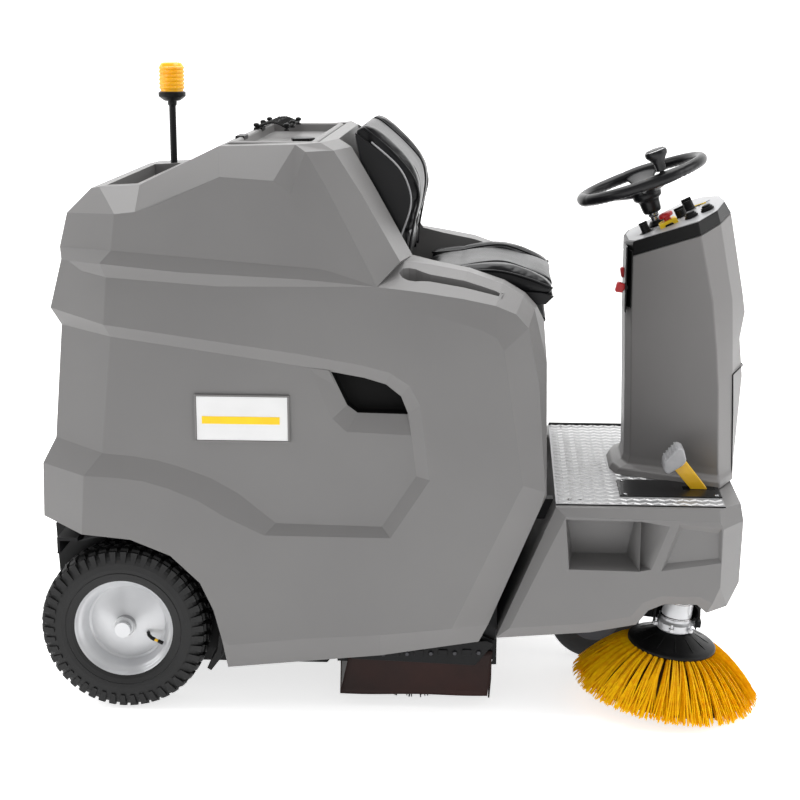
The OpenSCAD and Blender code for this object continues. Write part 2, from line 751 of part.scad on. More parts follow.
module bellows_button(x, y) on_panel(x, y) {
    translate([0, 0, 3.5]) cylinder(r = 13, h = 4.5);
    translate([0, 0, 8]) cylinder(r = 10, h = 5);
    translate([0, 0, -10]) cylinder(r = 5, h = 12);
}

module horn_button() color("#171717") machine() bellows_button(1366, -108);
module shaker_button() color("#171717") machine() bellows_button(1405, -100);

// Lever with a round knob that points at the driver
module lever(y, z) {
    rod_y(1240, z, 8, y - 7, y + 7);
    block([1198, y - 3, z - 4], [1240, y + 3, z + 4]);
    translate([1177, y, z]) rotate([0, 90, 0]) cylinder(r = 10.5, h = 21.3);
}

module roller_lever() color("#c8161d") machine() lever(-44, 1047);
module brush_lever() color("#c8161d") machine() lever(-84, 1007);

// ---- beacon ----

pole_x = 26;
pole_y = 236;
lens_z = 1455;

module beacon_pole() color("#1d1d1d") machine() {
    rod_z(pole_x, pole_y, 9, tray_z + 6, lens_z - 18);
    rod_z(pole_x, pole_y, 16, tray_z + 0.3, tray_z + 6);
}

module beacon_base() color("#1b1b1b") machine() difference() {
    union() {
        rod_z(pole_x, pole_y, 30, lens_z - 4, lens_z + 6);
        rod_z(pole_x, pole_y, 14, lens_z - 34, lens_z - 4);
    }
    rod_z(pole_x, pole_y, 9, lens_z - 35, lens_z - 17.9);
}

module beacon_lens() color("#ffab00") machine() translate([pole_x, pole_y, lens_z + 6.2]) difference() {
    union() {
        cylinder(r = 32, h = 66);
        translate([0, 0, 66]) cylinder(r = 28, h = 12);
    }
    translate([0, 0, -1]) cylinder(r = 28, h = 60);
}

module panel_screws() color("#4a4c4e") machine() {
    for (y = [-360, 360]) {
        rod_z(1100, y, 4, foot_z - 24, foot_z);
        rod_z(1100, y, 8, foot_z, foot_z + 3);
    }
    for (x = [1206, 1432], y = [-318, -228]) {
        rod_z(x, y, 2.9, foot_z - 2, foot_z + 2);
        rod_z(x, y, 6, foot_z + 2, foot_z + 4);
    }
}

chassis();
rear_hood();
front_body();
footplate();
column_shell();
column_cover();
control_panel();
filter_lid();
air_filter();
suction_fan();
luggage_net();
waste_container();
inner_fenders();
mud_flaps();
rear_tyre_right();
rear_tyre_left();
rear_rim_right();
rear_rim_left();
rear_axles();
wheel_bearings();
front_tyre();
hub_motor();
front_fork();
steering_bearing();
steering_shaft();
steering_wheel();
spinner_knob();
seat_plate();
seat_rails();
seat_shell();
seat_cushion();
seat_backrest();
battery_pack();
roller_core();
roller_bristles();
roller_arms();
brush_tunnel();
sealing_strips();
flap_brackets();
debris_flap();
side_brush_arm();
side_brush_motor();
side_brush_dish();
side_brush_bristles();
drive_pedal();
pedal_plate();
flap_pedal();
stop_switch_base();
stop_button();
program_knob();
fan_knob();
key_switch();
horn_button();
shaker_button();
roller_lever();
brush_lever();
beacon_pole();
beacon_base();
beacon_lens();
panel_screws();
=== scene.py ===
# Ride-on sweeper: the looks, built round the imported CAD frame. Lengths in millimetres until P() turns them
# into the frame's metres; X runs from the rear axle to the front, Y = 0 is the centre plane, Z = 0 the floor.
import bpy, bmesh, math, random
from mathutils import Matrix, Vector, noise


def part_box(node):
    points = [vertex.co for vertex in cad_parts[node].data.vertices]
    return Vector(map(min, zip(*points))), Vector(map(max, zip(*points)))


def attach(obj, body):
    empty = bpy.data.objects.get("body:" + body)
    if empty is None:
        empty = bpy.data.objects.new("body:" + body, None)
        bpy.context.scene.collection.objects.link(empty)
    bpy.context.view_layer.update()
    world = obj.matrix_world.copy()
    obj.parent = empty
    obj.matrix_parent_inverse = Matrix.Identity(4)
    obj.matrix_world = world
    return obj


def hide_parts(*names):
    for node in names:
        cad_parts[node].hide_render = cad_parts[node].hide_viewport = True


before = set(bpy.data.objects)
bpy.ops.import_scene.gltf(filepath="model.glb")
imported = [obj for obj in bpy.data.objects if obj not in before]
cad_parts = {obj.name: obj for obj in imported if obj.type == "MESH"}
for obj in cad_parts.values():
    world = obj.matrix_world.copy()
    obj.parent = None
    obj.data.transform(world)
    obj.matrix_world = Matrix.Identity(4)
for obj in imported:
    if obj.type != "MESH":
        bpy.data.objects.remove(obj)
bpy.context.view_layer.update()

lo_t, hi_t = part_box("rear_tyre_right")
lo_a, hi_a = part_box("rear_axles")
AX, AY = (lo_t[0] + hi_t[0]) / 2, (lo_a[1] + hi_a[1]) / 2
RIGHT, LEFT = -1, 1

# driving dimensions, shared by the pieces below
TYRE_R, HALF_TRACK = 207.0, 388.0                # rear tyres: radius, and middle of the tread off the centre
FRONT_X, FRONT_R = 1160, 120                     # drive wheel: axle place and radius
ROLLER_X, ROLLER_Z = 700, 142                    # main roller's axis
BRUSH_AT, BRUSH_TILT_Y, BRUSH_TILT_X = (1322, -287, 38), 7, 3   # side brush: centre and lean in degrees
WHEEL_AT, WHEEL_LEAN = (1250, 0, 1262), -20      # steering wheel: centre and lean in degrees
FLOOR_TOP = 531.0                                # top of the tread plate
STOP_X, STOP_Y = 1316, -78                       # stop switch on the deck
MOULD_WALL = 0.006                               # wall of the moulded skins, metres
SEAT_VOXEL = 0.006                               # mesh size of the padded covers, metres
SIM_LAST = 20                                    # last frame of the padding's simulation


def P(x, y, z):
    return Vector((AX + x / 1000, AY + y / 1000, z / 1000))


# ---------------------------------------------------------------- materials

def new_material(name, colour, rough, metal=0.0, second=None, scale=6.0, grain=400.0, bump=0.05,
                 rough_var=0.06, coat=0.0, streak=1.0, spec=0.5):
    """Moulded or painted surface: two close tones in clouds, fine grain in the bump, uneven gloss."""
    m = bpy.data.materials.new(name)
    m.use_nodes = True
    n, l = m.node_tree.nodes, m.node_tree.links
    b = n["Principled BSDF"]
    b.inputs["Metallic"].default_value = metal
    b.inputs["Coat Weight"].default_value = coat
    b.inputs["Specular IOR Level"].default_value = spec
    c = n.new("ShaderNodeTexCoord")
    mp = n.new("ShaderNodeMapping")
    mp.inputs["Scale"].default_value = (streak, streak, 1.0)
    l.new(c.outputs["Object"], mp.inputs["Vector"])
    big = n.new("ShaderNodeTexNoise")
    big.inputs["Scale"].default_value = scale
    big.inputs["Detail"].default_value = 5.0
    l.new(mp.outputs["Vector"], big.inputs["Vector"])
    ramp = n.new("ShaderNodeValToRGB")
    ramp.color_ramp.elements[0].position, ramp.color_ramp.elements[1].position = 0.35, 0.68
    second = second or tuple(v * 0.9 for v in colour)
    ramp.color_ramp.elements[0].color = (*second, 1)
    ramp.color_ramp.elements[1].color = (*colour, 1)
    l.new(big.outputs["Fac"], ramp.inputs["Fac"])
    l.new(ramp.outputs["Color"], b.inputs["Base Color"])
    fine = n.new("ShaderNodeTexNoise")
    fine.inputs["Scale"].default_value = grain
    fine.inputs["Detail"].default_value = 3.0
    l.new(c.outputs["Object"], fine.inputs["Vector"])
    rr = n.new("ShaderNodeMapRange")
    rr.inputs["To Min"].default_value = max(rough - rough_var, 0.03)
    rr.inputs["To Max"].default_value = min(rough + rough_var, 1.0)
    l.new(big.outputs["Fac"], rr.inputs["Value"])
    l.new(rr.outputs["Result"], b.inputs["Roughness"])
    bp = n.new("ShaderNodeBump")
    bp.inputs["Strength"].default_value = bump
    bp.inputs["Distance"].default_value = 0.0006
    l.new(fine.outputs["Fac"], bp.inputs["Height"])
    l.new(bp.outputs["Normal"], b.inputs["Normal"])
    return m


GREY = new_material("shell_grey", (0.186, 0.182, 0.18), 0.42, second=(0.172, 0.168, 0.167), scale=2.5,
    grain=900,
                    bump=0.22, rough_var=0.04, spec=0.42)
GREY_COL = new_material("column_grey", (0.192, 0.186, 0.184), 0.42, second=(0.178, 0.172, 0.17), scale=3,
    grain=900,
                        bump=0.2, rough_var=0.04, spec=0.42)
BLACK = new_material("black_plastic", (0.007, 0.007, 0.0075), 0.38, second=(0.005, 0.005, 0.005), grain=700,
    bump=0.3, spec=0.2)
SATIN = new_material("black_satin", (0.008, 0.008, 0.009), 0.3, second=(0.005, 0.005, 0.006), grain=500,
    bump=0.15, spec=0.3)
FRAME = new_material("frame_black", (0.009, 0.009, 0.01), 0.5, second=(0.006, 0.006, 0.006), scale=20,
    bump=0.4, spec=0.2)
# painted shade: near-black colour laid inside recesses, slots, sockets and gaps where shade falls
PAINTED_SHADE = new_material("painted_recess_shade", (0.006, 0.006, 0.006), 0.8, bump=0.2, spec=0.2)
TYRE = new_material("tyre_rubber", (0.008, 0.008, 0.0085), 0.55, second=(0.005, 0.005, 0.005), scale=14,
    grain=300,
                    bump=0.5, spec=0.4)
ZINC = new_material("rim_silver", (0.66, 0.665, 0.675), 0.36, metal=0.45, second=(0.58, 0.585, 0.6), scale=9,
                    grain=500, bump=0.12, rough_var=0.08)
STEEL = new_material("bare_steel", (0.5, 0.5, 0.5), 0.25, metal=1.0, second=(0.38, 0.38, 0.39), scale=30,
    bump=0.1)
TREAD = new_material("tread_silver", (0.4, 0.4, 0.405), 0.4, metal=0.4, second=(0.33, 0.33, 0.34), scale=18,
                     grain=600, bump=0.2, rough_var=0.1)
PANEL = new_material("panel_silver", (0.5, 0.5, 0.51), 0.4, metal=0.35, second=(0.44, 0.44, 0.45), scale=10,
    bump=0.1)
YELLOW = new_material("yellow_plastic", (0.95, 0.66, 0.0), 0.45, second=(0.92, 0.6, 0.0), scale=20, bump=0.15)
PAINT = new_material("yellow_paint", (0.95, 0.55, 0.0), 0.38, second=(0.9, 0.5, 0.0), scale=24, bump=0.2,
    coat=0.3)
RED = new_material("red_plastic", (0.55, 0.008, 0.012), 0.35, second=(0.46, 0.006, 0.01), scale=30, bump=0.1)
BROWN = new_material("flap_rubber", (0.026, 0.009, 0.007), 0.5, second=(0.014, 0.006, 0.005), scale=7,
    grain=260,
                     bump=0.4, spec=0.2)
PALE = new_material("pedal_grey", (0.42, 0.42, 0.43), 0.5, second=(0.35, 0.35, 0.36), scale=30, bump=0.3)
WHITE = new_material("badge_white", (0.8, 0.8, 0.8), 0.35, second=(0.76, 0.76, 0.76), scale=12, bump=0.05)
CORD = new_material("net_black", (0.02, 0.02, 0.02), 0.75, second=(0.008, 0.008, 0.008), scale=120, bump=0.8,
    spec=0.2)
PAPER = new_material("filter_paper", (0.6, 0.55, 0.42), 0.85, scale=40, bump=0.6)
# painted highlight: the raised tread marks, coloured about twice as light as the plate's metal
LIT_TREAD_PAINT = new_material("lit_tread_marks", (0.82, 0.82, 0.82), 0.3, metal=0.25, second=(0.74, 0.74, 0.74),
    scale=60, bump=0.1)
# painted shade for the inside of the side brush's bristle fan
BRISTLE_SHADE_PAINT = new_material("bristle_shade", (0.1, 0.035, 0.0), 0.9, second=(0.05, 0.018, 0.0), scale=60, bump=0.3)
GREASE = new_material("cast_metal", (0.05, 0.05, 0.055), 0.38, metal=0.6, scale=26, bump=0.4)


def amber():
    m = new_material("amber_lens", (1.0, 0.5, 0.0), 0.18, second=(1.0, 0.42, 0.0), scale=18, bump=0.1,
        coat=0.4)
    b = m.node_tree.nodes["Principled BSDF"]
    # a faint glow in the lens: painted light that keeps its shaded side bright amber
    b.inputs["Emission Color"].default_value = (1.0, 0.55, 0.01, 1)
    b.inputs["Emission Strength"].default_value = 0.14
    b.inputs["Transmission Weight"].default_value = 0.12
    b.inputs["Subsurface Weight"].default_value = 0.25
    b.inputs["Subsurface Radius"].default_value = (0.02, 0.008, 0.001)
    return m


def bristle(name, base, tip):
    """Filaments: each strand has its own shade, through a very fine noise across the brush."""
    m = new_material(name, base, 0.5, second=tip, scale=90, grain=1500, bump=0.25, rough_var=0.1)
    m.node_tree.nodes["Principled BSDF"].inputs["Specular IOR Level"].default_value = 0.12
    return m


def vinyl():
    """Soft black seat vinyl: leather cells in the bump, semi-gloss with worn, glossier patches."""
    m = new_material("seat_vinyl", (0.007, 0.007, 0.008), 0.33, second=(0.004, 0.004, 0.005), scale=7,
        grain=260,
                     bump=0.18, rough_var=0.09, spec=0.26)
    n, l = m.node_tree.nodes, m.node_tree.links
    cells = n.new("ShaderNodeTexVoronoi")
    cells.inputs["Scale"].default_value = 420
    cells.feature = "DISTANCE_TO_EDGE"
    tc = next(x for x in n if x.type == "TEX_COORD")
    l.new(tc.outputs["Object"], cells.inputs["Vector"])
    bp = n.new("ShaderNodeBump")
    bp.inputs["Strength"].default_value = 0.35
    bp.inputs["Distance"].default_value = 0.0004
    l.new(cells.outputs["Distance"], bp.inputs["Height"])
    old = next(x for x in n if x.type == "BUMP" and x != bp)
    l.new(old.outputs["Normal"], bp.inputs["Normal"])
    l.new(bp.outputs["Normal"], n["Principled BSDF"].inputs["Normal"])
    return m


AMBER, VINYL = amber(), vinyl()
BRISTLE = bristle("bristle_yellow", (1.0, 0.6, 0.0), (0.9, 0.42, 0.0))
FIBRE = bristle("bristle_black", (0.03, 0.03, 0.03), (0.012, 0.012, 0.012))


# ---------------------------------------------------------------- mesh helpers

def piece(name, verts, faces, mats, body, hides=(), face_mats=None, smooth=False):
    """A mesh piece from points in the frame's metres; mats is one material or a list."""
    me = bpy.data.meshes.new(name)
    me.from_pydata([tuple(v) for v in verts], [], faces)
    me.update()
    o = bpy.data.objects.new(name, me)
    bpy.context.scene.collection.objects.link(o)
    for m in mats if isinstance(mats, (list, tuple)) else [mats]:
        me.materials.append(m)
    if face_mats:
        for p, k in zip(me.polygons, face_mats):
            p.material_index = k
    if smooth:
        for p in me.polygons:
            p.use_smooth = True
    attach(o, body)
    if hides:
        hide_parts(*hides)
    return o


def tidy(o, merge=0.00005):
    bm = bmesh.new()
    bm.from_mesh(o.data)
    bmesh.ops.remove_doubles(bm, verts=bm.verts, dist=merge)
    bmesh.ops.recalc_face_normals(bm, faces=bm.faces)
    bm.to_mesh(o.data)
    bm.free()
    return o


def bevel(o, width, segs=3, angle=25.0, clamp=True):
    for p in o.data.polygons:
        p.use_smooth = True
    b = o.modifiers.new("edges", "BEVEL")
    b.width, b.segments, b.limit_method = width / 1000, segs, "ANGLE"
    b.angle_limit = math.radians(angle)
    b.harden_normals = True
    b.use_clamp_overlap = clamp
    b.miter_outer = "MITER_ARC"
    return o


def join(parts):
    """[(verts, faces)] as one (verts, faces)."""
    V, F = [], []
    for v, f in parts:
        k = len(V)
        V += list(v)
        F += [tuple(i + k for i in q) for q in f]
    return V, F


def slab(outline, a, b, axis="y"):
    """Prism of a closed outline between two planes. Outline is (x, z) for y, (x, y) for z, (y, z) for x."""
    def at(p, d):
        return {"y": (p[0], d, p[1]), "z": (p[0], p[1], d), "x": (d, p[0], p[1])}[axis]
    n = len(outline)
    V = [at(p, a) for p in outline] + [at(p, b) for p in outline]
    F = [tuple(range(n)), tuple(range(2 * n - 1, n - 1, -1))]
    F += [(i, (i + 1) % n, (i + 1) % n + n, i + n) for i in range(n)]
    return V, F


def box(a, b):
    return slab([(a[0], a[1]), (b[0], a[1]), (b[0], b[1]), (a[0], b[1])], a[2], b[2], "z")


def lathe(profile, n=96, a0=0.0, a1=360.0):
    """Profile of (radius, height) turned about Z."""
    closed = a1 - a0 >= 360
    V, F = [], []
    m = n if closed else n + 1
    for i in range(m):
        t = math.radians(a0 + (a1 - a0) * i / n)
        V += [(r * math.cos(t), r * math.sin(t), h) for r, h in profile]
    k = len(profile)
    for i in range(n):
        j = (i + 1) % m
        F += [(i * k + q, j * k + q, j * k + q + 1, i * k + q + 1) for q in range(k - 1)]
    return V, F


def between(i, n):
    """Quads between ring i and the next one, each of n points."""
    return [(i * n + k, i * n + (k + 1) % n, (i + 1) * n + (k + 1) % n, (i + 1) * n + k) 
            for k in range(n)]


def rod(points, r, n=12, caps=True):
    """Tube along points, r a number or one per point."""
    pts = [Vector(p) for p in points]
    R = r if isinstance(r, (list, tuple)) else [r] * len(pts)
    V, F = [], []
    side = None
    for i, p in enumerate(pts):
        t = (pts[min(i + 1, len(pts) - 1)] - pts[max(i - 1, 0)]).normalized()
        if side is None:
            side = t.orthogonal().normalized()
        side = (side - t * side.dot(t)).normalized()
        up = t.cross(side)
        for k in range(n):
            a = 2 * math.pi * k / n
            V.append(p + (side * math.cos(a) + up * math.sin(a)) * R[i])
    for i in range(len(pts) - 1):
        F += between(i, n)
    if caps:
        F += [tuple(range(n - 1, -1, -1)), tuple(range((len(pts) - 1) * n, len(pts) * n))]
    return V, F


def moved(part, matrix):
    return [matrix @ Vector(v) for v in part[0]], part[1]


def place(part):
    """Millimetre points as frame metres."""
    return [P(*v) for v in part[0]], part[1]


def make(name, parts, mats, body, hides=(), edge=None, segs=2, angle=25.0, smooth=False,
    merge=True):
    v, f = place(join(parts))
    o = piece(name, v, f, mats, body, hides, smooth=smooth)
    if merge:
        tidy(o)
    if edge:
        bevel(o, edge, segs, angle)
    return o


def shift(x, y, z):
    return Matrix.Translation((x, y, z))


def turn(axis, degrees, at=(0, 0, 0)):
    at = Vector(at)
    return Matrix.Translation(at) @ Matrix.Rotation(math.radians(degrees), 4, axis)


def paint(node, material):
    """Gives a CAD node its finished material."""
    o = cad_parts[node]
    if not o.material_slots:
        o.data.materials.append(material)
    for s in o.material_slots:
        s.material = material


# ---------------------------------------------------------------- camera, light and floor

cam = bpy.data.objects.new("camera", bpy.data.cameras.new("camera"))
bpy.context.scene.collection.objects.link(cam)
bpy.context.scene.camera = cam
cam.data.clip_start, cam.data.clip_end = 0.1, 60
EYE, LENS, SENSOR = (915.5, -4287.9, 1670.7), 76.5, 36.0
PITCH, YAW = math.radians(12.9), math.radians(3.6)
cam.data.sensor_width, cam.data.lens = SENSOR, LENS
cam.location = P(*EYE)
ahead = Vector((-math.sin(YAW) * math.cos(PITCH), math.cos(YAW) * math.cos(PITCH), -math.sin(PITCH)))
cam.rotation_mode = "QUATERNION"
cam.rotation_quaternion = ahead.to_track_quat("-Z", "Y")


def area(name, loc, target, size, power, size_y=None):
    d = bpy.data.lights.new(name, "AREA")
    d.shape, d.size, d.size_y, d.energy = "RECTANGLE", size, size_y or size, power
    o = bpy.data.objects.new(name, d)
    bpy.context.scene.collection.objects.link(o)
    o.location = P(*loc)
    o.rotation_mode = "QUATERNION"
    o.rotation_quaternion = (P(*target) - P(*loc)).to_track_quat("-Z", "Y")
    return o


area("top_light", (600, 500, 4300), (650, 0, 500), 4.2, 165, 3.2)
area("rear_light", (-3600, -700, 2300), (0, 0, 800), 2.2, 52, 2.4)
area("front_light", (4700, -500, 2300), (1100, 0, 700), 2.2, 44, 2.4)
area("fill_light", (700, -4800, 2200), (700, 0, 600), 4.0, 14, 2.4)

world = bpy.data.worlds.new("studio")
bpy.context.scene.world = world
world.use_nodes = True
world.node_tree.nodes["Background"].inputs["Color"].default_value = (1, 1, 1, 1)
world.node_tree.nodes["Background"].inputs["Strength"].default_value = 0.42

fm = bpy.data.materials.new("studio_floor")
fm.use_nodes = True
fm.node_tree.nodes["Principled BSDF"].inputs["Base Color"].default_value = (0.93, 0.93, 0.93, 1)
fm.node_tree.nodes["Principled BSDF"].inputs["Roughness"].default_value = 0.85
fm.node_tree.nodes["Principled BSDF"].inputs["Emission Color"].default_value = (1, 1, 1, 1)
fm.node_tree.nodes["Principled BSDF"].inputs["Emission Strength"].default_value = 0.72
me = bpy.data.meshes.new("studio_floor")
# floor that sweeps up into a backdrop far behind
rows = [(-9000, 0), (5000, 0)] + [(5000 + 2500 * math.sin(t), 2500 - 2500 * math.cos(t)) for t in
                                  (math.pi / 24 * k for k in range(1, 13))] + [(7500, 12000)]
me.from_pydata([tuple(P(x, y, z)) for y, z in rows for x in (-16000, 17000)], [],
               [(2 * i, 2 * i + 1, 2 * i + 3, 2 * i + 2) for i in range(len(rows) - 1)])
for p in me.polygons:
    p.use_smooth = True
me.materials.append(fm)
floor = bpy.data.objects.new("studio_floor", me)
bpy.context.scene.collection.objects.link(floor)

bpy.context.scene.view_settings.view_transform = "Standard"


# ---------------------------------------------------------------- rear hood

class Shell:
    """A skin built from named points; each side is made from the same table, the left one mirrored."""

    def __init__(self):
        self.verts, self.names, self.faces = [], {}, []

    def add(self, name, x, y, z):
        self.names[name + "R"] = len(self.verts)
        self.verts.append((x, y, z))
        self.names[name + "L"] = len(self.verts)
        self.verts.append((x, -y, z))

    def listed(self, words, side):
        return [self.names[n + side] for n in " ".join(words).split()]

    def both(self, *words):
        """One face on each side; the points are named in one string or several."""
        self.faces.append(self.listed(words, "R"))
        self.faces.append(self.listed(words, "L")[::-1])

    def across(self, *words):
        """Right points in order, then the same points of the left side back again."""
        self.faces.append(self.listed(words, "R") + self.listed(words, "L")[::-1])

    def one(self, *words):
        self.faces.append(self.listed(words, ""))


def build_hood():
    s = Shell()
    up, out, deep = -451, -460, -443
    pts = {
        # top edge of the shoulder
        "t1": (-38, -350, 1269), "t2": (58, -350, 1274), "t3": (251, -380, 1367), "t4": (430, -387, 1372),
        "tf": (489, -392, 1377), "at": (-62, -330, 1264),
        # lower edge of the shoulder, on the upper panel
        "b1": (19, up, 1217), "s2": (66, up, 1222), "s2b": (109, up, 1235), "s3": (264, up, 1303),
        "s4": (386, up, 1295), "s4b": (426, up, 1266), "c0": (446, up, 1199), "c1": (489, up - 1, 1095),
        # slanted corner behind the seat
        "l1": (458, -432, 1359), "l2": (503, -446, 1286), "r1": (519, -400, 1360), "r2": (582, -400, 1262),
        "r3": (671, -400, 1106), "w1": (518, -262, 1377), "w2": (548, -262, 1358), "w3": (606, -262, 1258),
        "w4": (692, -262, 1103),
        # upper rib
        "b2": (8, up, 1133), "q2": (446, up, 1098), "q3": (520, -455, 1088), "e": (622, -459, 1056),
        "k1": (-18, -463, 1104), "k2": (165, -463, 1086), "k3": (446, -462, 1072),
        "o0": (-102, -416, 1104), "o1": (-68, -433, 1082), "m0": (-7, -447, 1070), "m1": (254, -450, 1052),
        "m2": (446, -456, 1054),
        # rear corner column
        "a1": (-108, -385, 1212), "a2": (-127, -390, 1133), "a3": (-124, -394, 1104), "a5": (-153, -400, 990),
        "a6": (-131, -389, 948), "a7": (-156, -392, 674), "a8": (-187, -405, 613), "a9": (-191, -405, 481),
        "a10": (-162, -400, 464),
        # outer edge of the big recess, then its inner edge
        "f0": (-14, out, 961), "f1": (215, out, 929), "f2": (443, out, 897), "f3": (585, out, 873),
        "f4": (651, out, 856), "f5": (697, out, 826), "f6": (722, out, 779), "f7": (731, out, 718),
        "f8": (745, out, 600), "f9": (652, out, 457), "f10": (352, out, 458), "f11": (257, out, 503),
        "f12": (195, out, 541), "f13": (126, out, 569), "f14": (66, out, 586), "f15": (9, out, 593),
        "f16": (-76, out, 597),
        "g0": (-2, deep, 930), "g1": (220, deep, 898), "g2": (441, deep, 866), "g3": (590, deep, 840),
        "g4": (641, deep, 825), "g5": (676, deep, 797), "g6": (692, deep, 757), "g7": (700, deep, 704),
        "g8": (712, deep, 605), "g9": (631, deep, 480), "g10": (378, deep, 484), "g11": (289, deep, 556),
        "g12": (225, deep, 592), "g13": (150, deep, 619), "g14": (95, deep, 634), "g15": (35, deep, 643),
        "g16": (-33, deep, 649),
        # hand hole and its surround
        "n0": (463, deep, 863), "n1": (515, deep, 741), "n2": (548, deep, 710),
        "h0": (513, deep, 854), "h1": (549, -430, 772), "h2": (573, -427, 753), "h3": (690, -431, 752),
        "d0": (513, -395, 854), "d1": (549, -395, 772), "d2": (573, -395, 753), "d3": (690, -395, 752),
        "d4": (676, -395, 797), "d5": (641, -395, 825), "d6": (590, -395, 840),
        # armrest edge and the front corner
        "x1": (726, -455, 1043), "x2": (819, -453, 1029), "x3": (894, -449, 1013), "x4": (940, -443, 993),
        "x5": (969, -437, 960), "x6": (995, -429, 830), "x7": (1015, -430, 567), "x8": (1006, -426, 531),
        "x9": (884, -426, 234), "x10": (862, -424, 190), "x11": (624, -432, 152), "x12": (255, -440, 116),
        "i0": (700, out, 1004), "i1": (785, out, 982), "i2": (860, out, 959), "i3": (897, out, 940),
        "i4": (914, out, 911), "i5": (962, out, 591), "i6": (798, out, 234), "i7": (627, out, 214),
        "i8": (449, out, 202), "i9": (262, out, 180),
        "y0": (676, -345, 1100), "y1": (740, -337, 1091), "y2": (828, -337, 1075), "y3": (908, -337, 1047),
        "y4": (958, -338, 1018), "y5": (984, -342, 988), "y6": (1014, -385, 868),
        "z1": (745, -262, 1090), "z2": (830, -262, 1073), "z3": (912, -262, 1045), "z4": (962, -262, 1015),
        "z5": (990, -262, 984), "z6": (1008, -262, 948), "z7": (1019, -395, 548),
        "wb": (594, -262, 948),
        # wheel arch
        "p0": (245, out, 193), "p1": (226, out, 268), "p2": (195, out, 336), "p3": (125, out, 403),
        "p4": (30, out, 441), "p5": (-54, out, 449), "p6": (-87, out, 452),
        # openings in the top
        "v1": (260, -345, 1368), "v2": (480, -345, 1375), "vd1": (260, -345, 1320), "vd2": (480, -345, 1320),
    }
    for k, (x, y, z) in pts.items():
        s.add(k, x, y, z)
    b = s.both
    # shoulder
    b("t1 t2 s2 b1"), b("t2 t3 s3 s2b s2"), b("t3 t4 s4 s3")
    b("t4 l1 s4b s4"), b("l1 l2 c0 s4b"), b("l2 e q3 c1 c0")
    b("t1 b1 a1 at"), b("t4 tf r1 l1"), b("l1 r1 r2 l2"), b("l2 r2 r3 e")
    b("tf w1 w2 r1"), b("r1 w2 w3 r2"), b("r2 w3 w4 r3")
    # upper panel, rib and its underside
    b("b1 s2 s2b s3 s4 s4b c0 c1 q2 b2")
    b("b1 b2 a2 a1"), b("b2 k1 o0 a3 a2")
    b("b2 q2 k3 k2 k1"), b("q2 c1 q3 e k3")
    b("k1 m0 o1 o0"), b("k1 k2 m1 m0"), b("k2 k3 m2 m1"), b("k3 e m2")
    b("a3 o0 o1 m0 f0 a5"), b("m0 m1 f1 f0"), b("m1 m2 f2 f1")
    b("m2 e f3 f2")
    b("e i0 i1 i2 i3 i4 i5 f8 f7 f6 f5 f4 f3")
    # recess band all round and its floor
    for k in range(16):
        s.both("f%d" % k, "f%d" % (k + 1), "g%d" % (k + 1), "g%d" % k)
    b("g0 g1 g2 n0 n1 n2 g7 g8 g9 g10 g11 g12 g13 g14 g15 g16")
    b("n0 h0 h1 n1"), b("n1 h1 h2 n2"), b("n2 h2 h3 g7"), b("h3 g6 g7")
    # rear corner
    b("a5 f0 g0 a6"), b("a6 g0 g16 a7"), b("a7 g16 f16 a8")
    b("a8 f16 p6 a10 a9")
    # lower side down to the arch and the bottom chamfer
    b("f8 i5 i6 i7 i8 i9 p0 p1 p2 p3 p4 p5 p6 f16 f15 f14 f13 f12 f11 f10 f9")
    # front corner, bottom chamfer
    b("e x1 i1 i0"), b("x1 x2 i2 i1"), b("x2 x3 i3 i2"), b("x3 x4 i4 i3")
    b("x4 x5 i4"), b("x5 x6 x7 i5 i4"), b("x7 x8 x9 i6 i5")
    b("x9 x10 x11 i7 i6"), b("x11 x12 i9 i8 i7"), b("x12 p0 i9")
    # armrest top, with its cup holder and slot
    rails = [("e", "y0", "w4"), ("x1", "y1", "z1"), ("x2", "y2", "z2"), ("x3", "y3", "z3"),
        ("x4", "y4", "z4"),
             ("x5", "y5", "z5")]
    b("e r3 y0"), b("r3 w4 y0")
    for k in range(5):
        (_, ya, za), (_, yb, zb) = rails[k], rails[k + 1]
        s.both(ya, za, zb, yb)
    slot = [(668, 0), (676, 17), (690, 24), (706, 24), (722, 18), (740, 14), (780, 14), (819, 14), (860, 12),
            (894, 10), (908, 4)]

    def rail(x, which):
        for k in range(5):
            a, c = pts[rails[k][which]], pts[rails[k + 1][which]]
            if x <= c[0] or k == 4:
                t = (x - a[0]) / (c[0] - a[0])
                return tuple(a[i] + (c[i] - a[i]) * t for i in range(3))

    mid_y = -392
    for k, (x, w) in enumerate(slot):
        eo, ei = rail(x, 0), rail(x, 1)
        for tag, y in (("so", mid_y - w), ("si", mid_y + w)):
            t = (y - eo[1]) / (ei[1] - eo[1])
            z = eo[2] + (ei[2] - eo[2]) * t
            s.add("%s%d" % (tag, k), x, y, z)
            s.add("%sd%d" % (tag, k), x, y, z - 44)
    n = len(slot) - 1
    for k in range(n):
        s.both("so%d" % k, "so%d" % (k + 1), "sod%d" % (k + 1), "sod%d" % k)
        s.both("sid%d" % k, "sid%d" % (k + 1), "si%d" % (k + 1), "si%d" % k)
        s.both("sod%d" % k, "sod%d" % (k + 1), "sid%d" % (k + 1), "sid%d" % k)
    b("e so0 so1 so2 so3 so4 x1"), b("x1 so4 so5 so6 so7 x2")
    b("x2 so7 so8 so9 so10 x3")
    b("y0 y1 si4 si3 si2 si1 si0"), b("y1 y2 si7 si6 si5 si4")
    b("y2 y3 si10 si9 si8 si7"), b("e y0 si0"), b("x3 si10 y3")
    b("x3 y3 y4 x4"), b("x4 y4 y5 x5")
    # front face and the seat well
    b("x5 y5 y6 x6"), b("y5 z5 z6 y6"), b("x6 y6 z7 x7"), b("x7 z7 x8")
    s.across("y6 z6"), s.across("z7 y6"), s.across("x8 z7"), s.across("x9 x8")
    b("w1 w2 w3 w4 z1 z2 z3 z4 z5 z6 wb")
    s.across("wb w1"), s.across("z6 wb")
